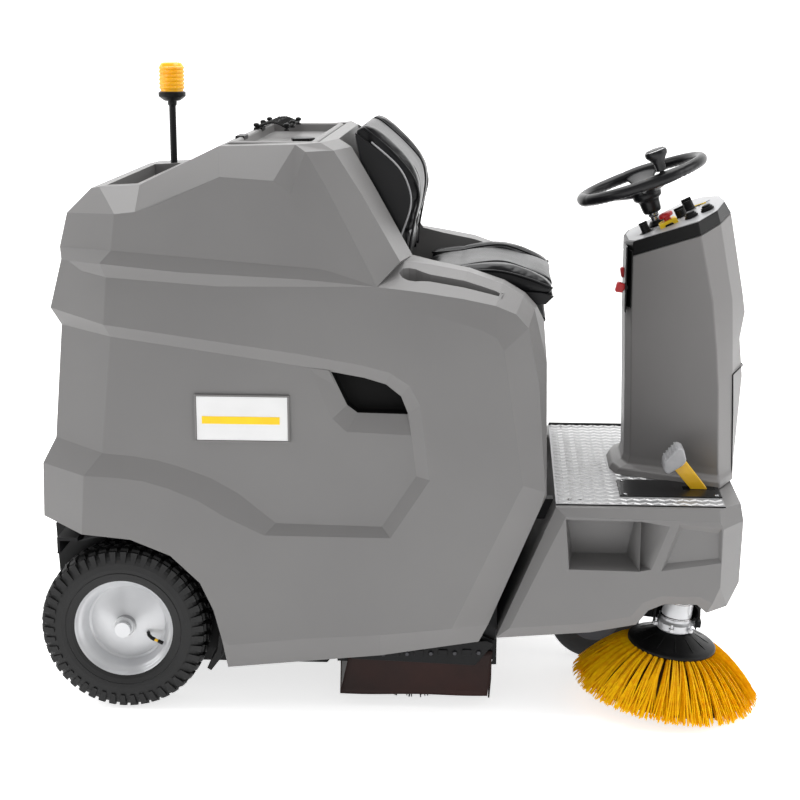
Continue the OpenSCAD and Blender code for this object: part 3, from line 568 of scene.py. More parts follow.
    # rear face
    for a, c in (("at", "a1"), ("a1", "a2"), ("a2", "a3"), ("a3", "a5"), ("a5", "a6"), ("a6", "a7"),
        ("a7", "a8"),
                 ("a8", "a9"), ("a9", "a10")):
        s.across(a, c)
    # top: slope, lid opening, seat back edge, tray
    s.across("t1 at"), s.across("t2 t3")
    b("t3 v1 v2 t4"), b("t4 v2 tf"), s.across("v1 t3")
    s.one("tfR v2R v2L tfL w1L w1R")
    s.both("v1 vd1 vd2 v2"), s.across("vd1 v1"), s.across("v2 vd2")
    tray = [(-22, -335), (50, -335), (50, 215), (-22, 215)]
    k0 = len(s.verts)
    for z in (1271.5, 1184):
        s.verts += [(x, y, z + (x + 38) * 5 / 96 if z > 1200 else z) for x, y in tray]
    t1r, t2r, t1l, t2l = (s.names[n] for n in ("t1R", "t2R", "t1L", "t2L"))
    s.faces += [[t1r, t2r, k0 + 1, k0], [t2r, t2l, k0 + 2, k0 + 1], [t2l, t1l, k0 + 3, k0 + 2],
        [t1l, t1r, k0, k0 + 3]]
    s.faces += [[k0 + i, k0 + (i + 1) % 4, k0 + 4 + (i + 1) % 4, k0 + 4 + i] for i in range(4)]
    s.faces.append([k0 + 4, k0 + 5, k0 + 6, k0 + 7])
    dark = len(s.faces)
    # hand hole: walls and back, coloured near-black as painted shade
    s.both("h0 g3 d6 d0"), s.both("g3 g4 d5 d6"), s.both("g4 g5 d4 d5")
    s.both("g5 g6 d3 d4"), s.both("g6 h3 d3"), s.both("h3 h2 d2 d3")
    s.both("h2 h1 d1 d2"), s.both("h1 h0 d0 d1")
    s.both("d0 d1 d2 d3 d4 d5 d6")
    # the strip of band between the recess floor and the hand hole's upper edge
    s.both("g2 h0 n0")
    s.both("g2 g3 h0")
    # the hand hole's faces take the second material, a painted shade
    mats = [0] * dark + [1] * 18 + [0] * 4
    o = piece("rear_hood_skin", [P(*v) for v in s.verts], s.faces, [GREY, PAINTED_SHADE], "machine",
              ["rear_hood"], face_mats=mats)
    bm = bmesh.new()
    bm.from_mesh(o.data)
    loose = [f for f in bm.faces if f.calc_area() < 1e-8]
    bmesh.ops.delete(bm, geom=loose, context="FACES")
    bmesh.ops.recalc_face_normals(bm, faces=bm.faces)
    if sum(f.normal.dot(f.calc_center_median() - P(450, 0, 700)) * f.calc_area() for f in bm.faces) < 0:
        bmesh.ops.reverse_faces(bm, faces=bm.faces)
    bm.to_mesh(o.data)
    bm.free()
    w = o.modifiers.new("wall", "SOLIDIFY")
    w.thickness, w.offset = MOULD_WALL, -1
    bevel(o, 11.0, 4, 7.0)
    return o


build_hood()


# ---------------------------------------------------------------- front body

def build_front():
    s = Shell()
    out = -440
    pts = {
        "c0": (936, out, 232), "c1": (1122, out, 248), "c2": (1222, out, 268), "c3": (1250, out, 303),
        "c4": (1294, out, 320), "c5": (1385, out, 320), "c6": (1414, out, 304), "c7": (1430, out, 345),
        "c8": (1432, out, 487), "c9": (1424, out, 505), "c10": (1064, out, 511),
        "d0": (903, -424, 201), "d1": (1127, -430, 222), "d2": (1236, -430, 244), "d3": (1264, -430, 280),
        "d4": (1302, -430, 297), "d5": (1378, -430, 297), "d6": (1402, -426, 276), "d7": (1452, -400, 285),
        "d8": (1484, -362, 333), "d9": (1488, -364, 487), "d10": (1480, -362, 529), "d11": (1424, -418, 529),
        "d12": (1041, -420, 529),
        "q0": (1064, out, 505), "q1": (1240, out, 503), "q2": (1240, out, 380), "q3": (1074, out, 382),
        "u0": (1070, -368, 498), "u1": (1232, -368, 497), "u2": (1214, -352, 396), "u3": (1084, -352, 396),
        "v": (1041, -330, 529),
        "w0": (1308, out, 492), "w1": (1268, out, 386), "w2": (1236, -400, 494), "w3": (1236, -400, 388),
        "m0": (1330, out, 500), "m1": (1428, out, 489), "m2": (1430, out, 405), "m3": (1290, out, 382),
        "i0": (1336, -428, 484), "i1": (1422, -428, 474), "i2": (1424, -430, 414), "i3": (1304, -428, 398),
    }
    for k, (x, y, z) in pts.items():
        s.add(k, x, y, z)
    b = s.both
    b("c0 c1 q2 q3"), b("q3 q0 c10 c0"), b("q0 q1 w0 m0 c9 c10")
    b("q1 w0 w2"), b("q1 w2 w3 q2"), b("w0 w1 w3 w2"), b("q2 w3 w1")
    b("w0 m0 m3 w1"), b("m0 c9 c8 m1")
    b("m0 m1 i1 i0"), b("m1 m2 i2 i1"), b("m2 m3 i3 i2"), b("m3 m0 i0 i3")
    b("i0 i1 i2 i3"), b("m1 c8 c7 m2"), b("m2 c7 c6 c5 m3")
    b("m3 c5 c4 c3 c2 c1 q2 w1")
    b("q0 u0 u1 q1"), b("q1 u1 u2 q2"), b("q2 u2 u3 q3"), b("q3 u3 u0 q0")
    b("u0 u1 u2 u3")
    for k in range(6):
        s.both("c%d" % k, "d%d" % k, "d%d" % (k + 1), "c%d" % (k + 1))
    b("c6 d6 d7 c7"), b("c7 d7 d8"), b("c7 d8 d9 c8"), b("c8 d9 d10 d11 c9")
    b("c9 d11 d12 c10"), b("c10 d12 d0 c0")
    s.across("d12 d11 d10"), s.across("d10 d9"), s.across("d9 d8"), s.across("d8 d7")
    s.across("d12 d0")
    o = piece("front_body_skin", [P(*v) for v in s.verts], s.faces, GREY, "machine",
        ["front_body"])
    bm = bmesh.new()
    bm.from_mesh(o.data)
    bmesh.ops.recalc_face_normals(bm, faces=bm.faces)
    if sum(f.normal.dot(f.calc_center_median() - P(1240, 0, 400)) * f.calc_area() for f in bm.faces) < 0:
        bmesh.ops.reverse_faces(bm, faces=bm.faces)
    bm.to_mesh(o.data)
    bm.free()
    w = o.modifiers.new("wall", "SOLIDIFY")
    w.thickness, w.offset = MOULD_WALL, -1
    bevel(o, 4.0, 3, 12.0)
    return o


build_front()

# tread plate marks: slim lozenges leaning to and fro, row by row, coloured far lighter than the plate as a
# painted highlight


def lozenge(x, y, angle, length=21.0, width=8.0, height=2.0):
    top = [(-length * 0.36, 0, height), (length * 0.36, 0, height)]
    rim = [(-length / 2, 0, 0), (-length * 0.3, -width / 2, 0), (length * 0.3, -width / 2, 0),
        (length / 2, 0, 0),
           (length * 0.3, width / 2, 0), (-length * 0.3, width / 2, 0)]
    c, t = math.cos(angle), math.sin(angle)
    V = [(x + a * c - b * t, y + a * t + b * c, FLOOR_TOP + h) for a, b, h in rim + top]
    F = [(0, 1, 6), (1, 2, 7, 6), (2, 3, 7), (3, 4, 7), (4, 5, 6, 7), (5, 0, 6)]
    return V, F


marks = []
row = 0
x = 1054.0
while x < 1432:
    y = -386.0 + 4 * (row % 2)
    while y < 388:
        covered = x > 1180 and abs(y) < 118 + (x - 1180) * 0.42
        plate = x > 1190 and -333 < y < -185
        if not covered and not plate:
            marks.append(lozenge(x, y, math.radians(36 if row % 2 else -36)))
        y += 32.0
    x += 15.0
    row += 1
make("lit_tread_marks", marks, LIT_TREAD_PAINT, "machine", merge=False)
make("tread_edge", [box((1042, 388, 531), (1300, 400, 537)), box((1041, -402, 524), (1440, -400, 532))],
    FRAME,
     "machine", edge=1.0)
paint("footplate", TREAD)

# ---------------------------------------------------------------- steering column

TAN = 0.42


def deck(x):
    return 1113 + (x - 1213) * TAN


def along(table, z):
    """Linear lookup in [(z, value)], z falling."""
    for (z0, v0), (z1, v1) in zip(table, table[1:]):
        if z >= z1:
            return v0 + (v1 - v0) * (z0 - z) / (z0 - z1)
    return table[-1][1]


crease_x = [(1200, 1366), (1153, 1377), (991, 1413), (808, 1433), (573, 1442), (531, 1444)]
corner_x = [(1235, 1408), (1215, 1418), (1168, 1432), (982, 1468), (900, 1472), (800, 1476), (560, 1484),
    (531, 1486)]
front_x = [(1240, 1440), (1214, 1450), (1172, 1476), (938, 1512), (871, 1502), (775, 1512), (560, 1500),
    (531, 1499)]
rear_x = [(1300, 1213), (953, 1213), (600, 1222), (548, 1220), (531, 1216)]


def column_ring(z_of, grow=0.0):
    """Plan of the column at a height that may depend on x; grow pushes it outwards."""
    out = []
    for key in range(5):
        z = 900.0
        for _ in range(4):
            x = (along(rear_x, z), along(rear_x, z) + 13, along(crease_x, z), along(corner_x, z),
                 along(front_x, z))[key]
            z = z_of(x)
        y = (-58, -108, -208 if z > 900 else -214, -150, -58)[key]
        k = grow / 100.0
        out.append((x - (max(0.0, 1440 - x) * k), y * (1 + (k if key < 3 else k * 0.2)), z))
    return out


def column():
    rings = [column_ring(lambda x: deck(x)), column_ring(lambda x: deck(x) - 34)]
    grey = [column_ring(lambda x: deck(x) - 35)] + [column_ring(lambda x, h=h: h) for h in
                                                  (985, 938, 871, 775, 573)]
    grey += [column_ring(lambda x: 556, 2), column_ring(lambda x: 546, 12), column_ring(lambda x: 532, 14)]
    def skin(rs):
        V, F = [], []
        for r in rs:
            V += r + [(x, -y, z) for x, y, z in reversed(r)]
        n = 10
        for i in range(len(rs) - 1):
            F += [(i * n + k, i * n + (k + 1) % n, (i + 1) * n + (k + 1) % n,
                (i + 1) * n + k) for k in range(n)]
        return V, F, n
    V, F, n = skin(rings)
    F.append(tuple(range(n - 1, -1, -1)))
    make("column_cap", [(V, F)], BLACK, "machine", edge=2.0, angle=15)
    V, F, n = skin(grey)
    F.append(tuple(range(n - 1, -1, -1)))
    o = make("column_skin", [(V, F)], GREY_COL, "machine", ["column_shell", "column_cover"])
    bevel(o, 4.0, 3, 9.0)
    # silver deck plate, a little above the cap
    top = column_ring(lambda x: deck(x) + 0.4, -2.5)
    plate = top + [(x, -y, z) for x, y, z in reversed(top)]
    make("deck_plate", [(plate + [(x, y, z + 2.2) for x, y, z in plate],
                         [tuple(range(n, 2 * n)), tuple(range(n - 1, -1, -1))] +
                         [(k, (k + 1) % n, (k + 1) % n + n, k + n) for k in range(n)])], PANEL, "machine",
         ["control_panel"], edge=0.8)


column()
# black rear channel with the two lever slots, foot strip, and the service door gap drawn as thin rods of
# painted shade
edge_strip = [slab([(1211, -56), (1209.5, -60), (1223.5, -110), (1226, -109)], 953, 1096, "z")]
make("column_rear", edge_strip + [slab([(1213, 940), (1213, 1106), (1209, 1104), (1209, 945)], -112, -10)],
    BLACK, "machine",
     edge=1.5)
make("door_gap", [rod([(1476, -152, 797), (1480, -152, 700), (1484, -152, 533)], 1.6, 6),
                  rod([(1476, -152, 797), (1511.5, -60, 803), (1511.5, 60, 803), (1476, 152, 797)], 1.6, 6),
                  rod([(1476, 152, 797), (1480, 152, 700), (1484, 152, 533)], 1.6, 6)], PAINTED_SHADE, "machine")


def on_deck(x, y, part, lift=2.6):
    m = turn("Y", -26, (x, y, deck(x) + lift))
    return moved(part, m)


# deck trim: a thin black strip as painted shade in the slot, key ring and shaft boot, yellow strip, tick
# marks round the knobs
make("deck_trim", [on_deck(1392, 30, box((-36, -3, 0), (36, 3, 0.8))), on_deck(1262, -52, lathe(
    [(0, 0.6), (17, 0.6), (19, 0)], 24)),
    on_deck(1297, 0, lathe([(12, 0), (12, 12), (20, 12), (26, 4), (27, 0)], 32))],
     BLACK, "machine")
arc = [(1352 + 2 * k, 34 + 9 * math.sin(k / 22 * math.pi), deck(1352 + 2 * k) + 3.4) for k in range(32)]
make("deck_strip", [rod(arc, 2.4, 6)], YELLOW, "machine")
make("deck_ticks", [on_deck(1375, 18, moved(box((24, -0.8, 0), (29, 0.8, 0.5)), turn("Z", a))) for a in
                    range(-120, 121, 30)] +
     [on_deck(1350, -34, moved(box((19, -0.6, 0), (23, 0.6, 0.5)), turn("Z", a))) for a in range(-135, 136,
         27)],
     BLACK, "machine", merge=False)


def knob(name, x, y, r, h, body, hides, grip=True):
    n = 48
    prof = [(r * 1.12, 0.5), (r * 1.12, h * 0.14), (r, h * 0.2), (r * 0.96, h * 0.86), (r * 0.86, h), (0, h)]
    V, F = lathe(prof, n)
    V = [(a * (1 + (0.045 if grip and 0.5 < c / h < 0.9 and (i // 6) % 4 < 2 else 0)), b * (1 + (
        0.045 if grip and 0.5 < c / h < 0.9 and (i // 6) % 4 < 2 else 0)), c) for i,
        (a, b, c) in enumerate(V)]
    bar = box((-r * 0.98, -r * 0.26, h * 0.9), (r * 0.98, r * 0.26, h * 1.28))
    line = box((-r * 0.9, -0.9, h * 1.28), (-r * 0.2, 0.9, h * 1.31))
    o = make(name, [on_deck(x, y, (V, F)), on_deck(x, y, bar)], BLACK, body, hides, edge=1.2)
    make(name + "_mark", [on_deck(x, y, line)], WHITE, body)
    return o


knob("program_dial", 1375, 18, 13, 24, "program", ["program_knob"])
knob("fan_dial", 1350, -34, 13, 19, "fan_speed", ["fan_knob"])
knob("key_head", 1262, -52, 11, 20, "key", ["key_switch"], grip=False)
for nm, x, y, bd in (("horn_bellows", 1366, -108, "horn"), ("shaker_bellows", 1405, -100, "shaker")):
    make(nm.replace("bellows", "boot"),
        [on_deck(x, y, lathe([(13, 0.3), (17, 0.5), (17, 4), (14, 5.5), (15.5, 7.5),
                                                              (13.4, 9), (13, 8)], 40))], BLACK, "machine",
         smooth=True)
    make(nm, [on_deck(x, y, lathe([(0, 5.6), (10.5, 5.6), (12, 8), (10.5, 10), (12, 12), (9, 14), (0, 14.5)],
        40))],
         BLACK, bd,
         [nm.replace("bellows", "button")], smooth=True)

# stop switch: yellow arched base with a red push cap
base = slab([(-23, 0), (-23, 13), (-17, 16), (17, 16), (23, 13), (23, 0), (13, 0), (9, 8), (-9, 8),
    (-13, 0)], -19, 19)
make("stop_base", [on_deck(STOP_X, STOP_Y, base, -2)], YELLOW, "machine",
    ["stop_switch_base"], edge=1.6)
make("stop_base_core", [on_deck(STOP_X, STOP_Y, box((-14, -17, 0.3), (14, 17, 6)), -2)], BLACK, "machine",
     edge=1.0)
cap = [on_deck(STOP_X, STOP_Y, lathe([(9, 12), (9, 20), (16.5, 20), (18, 22), (18, 27), (15, 30.5),
    (0, 31.5)], 40), 2)]
make("stop_cap", cap, RED, "stop", ["stop_button"], smooth=False, edge=0.8)

# levers: slim arms through the black channel with square red knobs
for nm, x, y, z, tip, bd in (("roller_grip", 1212, -44, 1034, -8, "roller_handle"),
                             ("brush_grip", 1199, -84, 1001, 14, "brush_handle")):
    k = slab([(-11, -10), (-8, -13), (8, -11), (11, 0), (9, 11), (-7, 13), (-11, 10)], -10, 10)
    k = moved(k, turn("Y", tip, (x, y, z)))
    make(nm, [k], RED, bd, [nm.replace("grip", "lever")], edge=2.2, segs=3)
    make(nm + "_arm", [box((x, y - 3, z - 5), (1236, y + 3, z + 5))], SATIN, bd, edge=1.0)

# pedals
m = slab([(1383, 498), (1411, 498), (1411, 536), (1356, 606), (1324, 590), (1375, 530)], -261, -243)
make("drive_arm", [m], PAINT, "accelerator", ["drive_pedal"], edge=1.6, segs=2)
pad = slab([(1303, 606), (1303, 584), (1314, 576), (1350, 600), (1357, 612), (1350, 638), (1336, 644)], -288,
    -218)
make("drive_pad", [pad], PALE, "accelerator", edge=5.0, segs=4)
make("drive_pad_ribs", [moved(slab([(-2, 0), (2, 0), (1.2, 2.4), (-1.2, 2.4)], -30, 30),
                              turn("Y", -49, (1308 + 6.0 * k, -252, 612 + 6.9 * k))) for k in range(5)], PALE,
                                  "accelerator")
make("flap_treadle", [slab([(1384, 497), (1409, 497), (1406, 540), (1371, 576), (1349, 566), (1382, 530)],
    247, 257),
                      slab([(1373, 570), (1366, 585), (1338, 573), (1346, 559)], 223, 281)], BLACK,
                      "flap_foot",
     ["flap_pedal"], edge=1.6)
plates = [slab([(1197, -182), (1197, -327), (1441, -327), (1441, -182)], 531.2, 534, "z")]
make("treadle_cover", plates + [slab([(1301, 202), (1301, 327), (1441, 327), (1441, 202)], 531.2, 534, "z")],
    SATIN,
     "machine", ["pedal_plate"], edge=1.2)
# the pedal slots as thin near-black plates of painted shade
make("treadle_slot", [box((1353, -266, 533.6), (1431, -238, 534.4)),
    box((1361, 241, 533.6), (1431, 265, 534.4))],
     PAINTED_SHADE, "machine")


def screw(x, y, z, r=5.5, h=3.0):
    head = lathe([(0, h), (r * 0.35, h), (r * 0.75, h * 0.92), (r, h * 0.5), (r, 0)], 20)
    hexa = lathe([(0, h + 0.02), (r * 0.42, h + 0.02)], 6)
    return moved(head, shift(x, y, z)), moved(hexa, shift(x, y, z))


heads = [screw(x, y, 534) for x in (1210, 1428) for y in (-316, -196)] + [screw(x, y, 531) for x in (1075,)
                                                                             for y in (-360, 360)]
make("cover_screws", [h for h, _ in heads], STEEL, "machine", ["panel_screws"], smooth=True)
# hex sockets in the screw heads, coloured as painted shade
make("cover_sockets", [h for _, h in heads], PAINTED_SHADE, "machine")

# ---------------------------------------------------------------- steering wheel

LEAN = Matrix.Translation(WHEEL_AT) @ Matrix.Rotation(math.radians(WHEEL_LEAN), 4, "Y")
R0 = 154.0
SPOKES = [190.0, 87.0, 287.0]


def near_spoke(a, width=22.0):
    return max(math.exp(-(((a - s + 180) % 360 - 180) / width) ** 2) for s in SPOKES)


def wheel_rim():
    V, F = [], []
    na, nb = 192, 20
    for i in range(na):
        a = 360 * i / na
        k = near_spoke(a, 14)
        seam = any(abs((a - s + 180) % 360 - 180) < 1.0 for q in SPOKES for s in (q - 17, q + 17))
        grip = 0.35 * math.sin(math.radians(a) * 60) * (1 - k)
        for j in range(nb):
            b = 2 * math.pi * j / nb
            r = 14.0 + 1.8 * k - (0.8 if seam else 0) + grip * max(0.0, -math.sin(b)) * 1.6
            V.append(((R0 + r * math.cos(b)) * math.cos(math.radians(a)),
                      (R0 + r * math.cos(b)) * math.sin(math.radians(a)), r * math.sin(b)))
    for i in range(na):
        for j in range(nb):
            F.append((i * nb + j, ((i + 1) % na) * nb + j, ((i + 1) % na) * nb + (j + 1) % nb,
                i * nb + (j + 1) % nb))
    return V, F


def spoke(a):
    """From hub to rim, broad at the rim, its underside a thin curved web."""
    V, F = [], []
    broad = 1.7 if a == 190.0 else 1.15
    st = [(22, -30, 30, 26), (50, -26, 27 * broad, 24), (85, -18, 29 * broad, 20), (118, -9, 36 * broad, 17),
          (R0 - 8, -1, 52 * broad, 16)]
    sec = 8
    for r, z, w, h in st:
        for k in range(sec):
            t = 2 * math.pi * (k + 0.5) / sec
            V.append((r, w * math.cos(t) * 0.95, z + h * 0.55 * math.sin(t)))
    for i in range(len(st) - 1):
        F += between(i, sec)
    F += [tuple(range(sec - 1, -1, -1)), tuple(range((len(st) - 1) * sec, len(st) * sec))]
    return moved((V, F), turn("Z", a))


hub = lathe([(0, -24), (20, -24), (32, -28), (38, -38), (36, -52), (28, -54), (25, -60), (24, -86),
    (19, -90), (0, -90)], 48)
o = make("steering_rim", [moved(wheel_rim(), LEAN)], SATIN, "steering", ["steering_wheel"],
         smooth=True)
w = make("steering_spokes", [moved(spoke(a), LEAN) for a in SPOKES] + [moved(hub, LEAN)], SATIN, "steering")
sd = w.modifiers.new("round", "SUBSURF")
sd.levels = sd.render_levels = 2
for p in w.data.polygons:
    p.use_smooth = True
make("hub_cap", [moved(lathe([(0, -20), (14, -20.5), (21, -23), (21, -27)], 40), LEAN)], BLACK, "steering",
     smooth=True)
KA = LEAN @ Matrix.Rotation(math.radians(287), 4, "Z") @ shift(R0, 0, 0)
make("spinner_post", [moved(lathe([(9, 8), (9, 14), (5, 18), (5, 50), (0, 50)], 24), KA)], SATIN, "steering",
     smooth=True)
make("spinner_grip", [moved(lathe([(6.2, 19), (11, 19), (12, 22), (13, 38), (20, 50), (26.5, 58), (27.5, 64),
                                   (26.5, 69), (25, 70.5), (21, 73.5), (8, 75), (0, 75)], 56), KA)], SATIN,
     "spinner", ["spinner_knob"], edge=1.2, angle=30)
make("spinner_ring", [moved(lathe([(25.6, 69.4), (26.2, 70.3), (24.4, 71.4), (23.6, 71.2)], 56), KA)], STEEL,
     "spinner", smooth=True)
shaft = [moved(lathe([(9.5, -64), (9.5, -170), (0, -170)], 32), LEAN),
         moved(lathe([(13, -92), (13, -98), (10, -100)], 32), LEAN)]
make("shaft_sleeve", shaft, STEEL, "steering", smooth=True)
paint("steering_shaft", STEEL)


# ---------------------------------------------------------------- rear wheels

def crown(y):
    y = abs(y)
    return TYRE_R - 0.0016 * y * y - (0.075 * (y - 34) ** 2 if y > 34 else 0)


def tread_block(outline, r_top=0.0, depth=9.0, inset=0.86):
    """Prism following the tyre's crown; outline is (degrees, y)."""
    ca = sum(a for a, _ in outline) / len(outline)
    cy = sum(y for _, y in outline) / len(outline)
    V, n = [], len(outline)
    for k, (a, y) in enumerate(outline):
        r = crown(y) - depth
        V.append((r * math.sin(math.radians(a)), y, r * math.cos(math.radians(a))))
    for a, y in outline:
        a, y = ca + (a - ca) * inset, cy + (y - cy) * inset
        r = crown(y) + r_top
        V.append((r * math.sin(math.radians(a)), y, r * math.cos(math.radians(a))))
    V.append(((crown(cy) + r_top) * math.sin(math.radians(ca)), cy,
        (crown(cy) + r_top) * math.cos(math.radians(ca))))
    F = [(k, (k + 1) % n, n + (k + 1) % n, n + k) for k in range(n)]
    F += [(n + k, n + (k + 1) % n, 2 * n) for k in range(n)]
    return V, F


def rear_tyre():
    prof = [(43, 119), (47, 122), (50, 129), (52.5, 140), (53.5, 152), (53, 166), (51.5, 176), (49, 184),
        (44, 192),
            (36, 197.5), (20, 199.5), (0, 200)]
    full = prof + [(-y, r) for y, r in prof[-2::-1]]
    rings = []
    for y, r in full:
        rings.append((y, r))
        if abs(y) == 52.5:
            rings.append((y + (1.4 if y > 0 else -1.4), r + 1.5))
            rings.append((y, r + 3.0))
    V, F = lathe([(r, y) for y, r in rings], 160)
    body = [(a, c, b) for a, b, c in V]
    blocks = []
    n = 46
    for i in range(n):
        a, s = 360.0 * i / n, 360.0 / n
        for side in (1, -1):
            o = a + (s / 2 if side < 0 else 0)
            blocks.append(tread_block([(o, side * 30), (o + s * 0.62, side * 27), (o + s * 0.7, side * 40),
                                       (o + s * 0.62, side * 52), (o - s * 0.04, side * 52),
                                       (o - s * 0.08, side * 40)]))
            blocks.append(tread_block([(o + s * 0.1, side * 4), (o + s * 0.6, side * 2),
                (o + s * 0.95, side * 13),
                                       (o + s * 0.6, side * 24), (o + s * 0.2, side * 25),
                                       (o + s * 0.36, side * 13)]))
            # lugs that run down onto the sidewall
            V2 = []
            for aa, y, r in ((o - s * 0.02, 49.5, 197), (o + s * 0.58, 49.5, 197), (o + s * 0.5, 53.0, 170),
                             (o + s * 0.06, 53.0, 170)):
                for out in (-4.0, 3.2):
                    V2.append((r * math.sin(math.radians(aa)), side * (y + out),
                        r * math.cos(math.radians(aa))))
            blocks.append((V2, [(1, 3, 5, 7), (0, 1, 3, 2), (2, 3, 5, 4), (4, 5, 7, 6), (6, 7, 1, 0)]))
    return [(body, F)] + blocks


def rear_rim():
    prof = [(0, 41), (19, 41), (22, 39), (24, 36), (24, 18), (29, 15), (44, 10), (66, 3), (84, -3), (91, -5),
        (96, -1),
            (99, 10), (103, 24), (107, 31), (112, 34), (117, 39), (120, 45), (123, 47), (125.5, 45.5),
            (125, 42),
            (121, 38), (117, 30), (113, 0), (116, -32), (122, -43), (118, -45), (110, -38), (102, -30),
            (98, -20),
            (60, -18), (24, -24), (0, -24)]
    V, F = lathe(prof, 128)
    return [([(a, c, b) for a, b, c in V], F)]


for sd in RIGHT, LEFT:
    side = "right" if sd is RIGHT else "left"
    sg = -1 if side == "right" else 1
    axle = shift(0, sg * HALF_TRACK, TYRE_R) @ Matrix.Scale(sg, 4, (0, 1, 0))
    t = make("tyre_tread_" + side, [moved(p, axle) for p in rear_tyre()], TYRE, "wheel_" + side,
             ["rear_tyre_" + side], merge=False)
    r = make("rim_disc_" + side, [moved(p, axle) for p in rear_rim()], ZINC, "wheel_" + side,
             ["rear_rim_" + side], smooth=True)
    r.data.set_sharp_from_angle(angle=math.radians(34))
    make("hub_end_" + side, [moved(rod([(0, 34, 0), (0, 42.5, 0)], 20.5, 48), axle)], ZINC, "wheel_" + side,
         edge=1.5, angle=40)
    valve = [rod([(52, 8, -24), (56, 18, -27), (64, 25, -31), (72, 27, -34)], 4.6, 14),
             rod([(80, 28, -37), (92, 29.5, -42)], 4.6, 14)]
    make("valve_stem_" + side, [moved(v, axle) for v in valve], BLACK, "wheel_" + side,
        smooth=True)
    make("valve_cap_" + side, [moved(rod([(71, 27, -33.5), (81, 28, -37.5)], 3.6, 12), axle)], PAINT,
        "wheel_" + side,
         smooth=True)

# front drive wheel
fv, ff = lathe([(60, -28), (84, -31), (100, -33), (114, -31), (119, -25), (120, -17), (118, -15.5),
    (120, -14),
                (120, -2), (118, 0), (120, 2), (120, 14), (118, 15.5), (120, 17), (119, 25), (114, 31),
                (100, 33),
                (84, 31), (60, 28)], 120)
make("front_tread", [moved(([(a, c, b) for a, b, c in fv], ff), shift(FRONT_X, 0, FRONT_R))],
    TYRE,
     "drive_wheel", ["front_tyre"], smooth=True)
paint("hub_motor", GREASE)
paint("front_fork", FRAME)

# ---------------------------------------------------------------- side brush

SIDE = (Matrix.Translation(BRUSH_AT) @ Matrix.Rotation(math.radians(BRUSH_TILT_Y), 4, "Y") @
        Matrix.Rotation(math.radians(BRUSH_TILT_X), 4, "X"))
rng = random.Random(11)


def strand(points, r0, r1):
    V, F = [], []
    for i, p in enumerate(points):
        r = r0 + (r1 - r0) * i / (len(points) - 1)
        a = math.atan2(p[1], p[0])
        for t in (0, 2.1, 4.2):
            V.append((p[0] - r * math.sin(a) * math.cos(t), p[1] + r * math.cos(a) * math.cos(t),
                      p[2] + r * math.sin(t)))
    for i in range(len(points) - 1):
        F += between(i, 3)
    F.append((len(V) - 3, len(V) - 2, len(V) - 1))
    return V, F


strands = []
TUFTS, PER_TUFT = 44, 26
for tuft in range(TUFTS):
    for k in range(PER_TUFT):
        layer = rng.random()
        a0 = 2 * math.pi * (tuft + 0.13 * rng.gauss(0, 1)) / TUFTS
        a1 = a0 + rng.gauss(0, 0.05) + 0.03 * math.sin(tuft * 2.4)
        end = 206 + 24 * (1 - layer) + rng.gauss(0, 4.5)
        # Strands facing the front wheel at rest are shorter. This sector turns with the brush, so at full
        # steering lock the longer strands still reach the tyre at most other brush angles.
        toward_wheel = abs((math.degrees(a0) - 119 + 180) % 360 - 180) < 34
        end = min(end, 210 if toward_wheel else 230)
        drop = 0.6 + 30 * max(0.0, layer - 0.8) + abs(rng.gauss(0, 2.5))
        z0 = 120 - 16 * layer
        pts = []
        for s in range(7):
            t = s / 6.0
            a = a0 + (a1 - a0) * t * t
            r = 78 + (end - 78) * t
            z = z0 + (drop - z0) * (t ** 1.5) + 5 * math.sin(math.pi * t)
            pts.append((r * math.cos(a), r * math.sin(a), z))
        strands.append(strand(pts, 2.3, 1.9))
make("sweep_strands", [moved(s, SIDE) for s in strands], BRISTLE, "side_brush",
     ["side_brush_bristles"], merge=False)
# dark cone under the strands: painted shade, so the fan looks dark inside instead of showing light through
shade = lathe([(70, 112), (100, 96), (150, 60), (186, 26), (206, 10), (196, 10), (140, 50), (90, 88),
    (70, 104)], 96)
make("bristle_shade_cone", [moved(shade, SIDE)], BRISTLE_SHADE_PAINT, "side_brush", smooth=True)
dish = lathe([(26, 150), (40, 150), (44, 147), (60, 140), (78, 130), (92, 124), (104, 121), (108, 118),
    (108.5, 113),
              (105, 109), (90, 108), (70, 110), (60, 118), (26, 122)], 120)
make("brush_dish", [moved(dish, SIDE)], BLACK, "side_brush", ["side_brush_dish"],
    smooth=True)
make("dish_ribs", [moved(slab([(44, 147), (60, 141), (90, 125.5), (90, 122), (44, 136)], -1.6, 1.6),
                         SIDE @ turn("Z", 30 * k)) for k in range(12)], BLACK, "side_brush",
                         edge=0.6)
mot = [moved(lathe([(20, 148), (42, 152), (44, 155), (44, 172), (40, 175), (37, 178), (37, 236), (34, 243),
                    (14, 244), (0, 244)], 64), SIDE)]
make("brush_motor_can", mot, ZINC, "side_arm", ["side_brush_motor"], edge=1.2, angle=30)
bands = [moved(lathe([(37.2, z), (38.6, z + 0.8), (38.6, z + 5), (37.2, z + 5.8)], 64), SIDE) for z in (184,
    226)]
make("brush_motor_bands", bands, STEEL, "side_arm", smooth=True)
lugs = [moved(lathe([(0, 160), (7, 160), (7, 168), (3.4, 169), (3.4, 179), (0, 179)], 6),
              SIDE @ turn("Z", 60 * k + 15) @ shift(50, 0, 0)) for k in range(6)]
make("brush_motor_bolts", lugs, ZINC, "side_arm", edge=0.6)
lead = [moved(rod([(30, -22, 238), (48, -34, 222), (52, -30, 198), (40, -14, 184)], 3.2, 10), SIDE)]
make("brush_motor_lead", lead, BLACK, "side_arm", smooth=True)
hood_arc = [(54 * math.cos(math.radians(a)), 54 * math.sin(math.radians(a))) for a in range(-10, 191, 12)]
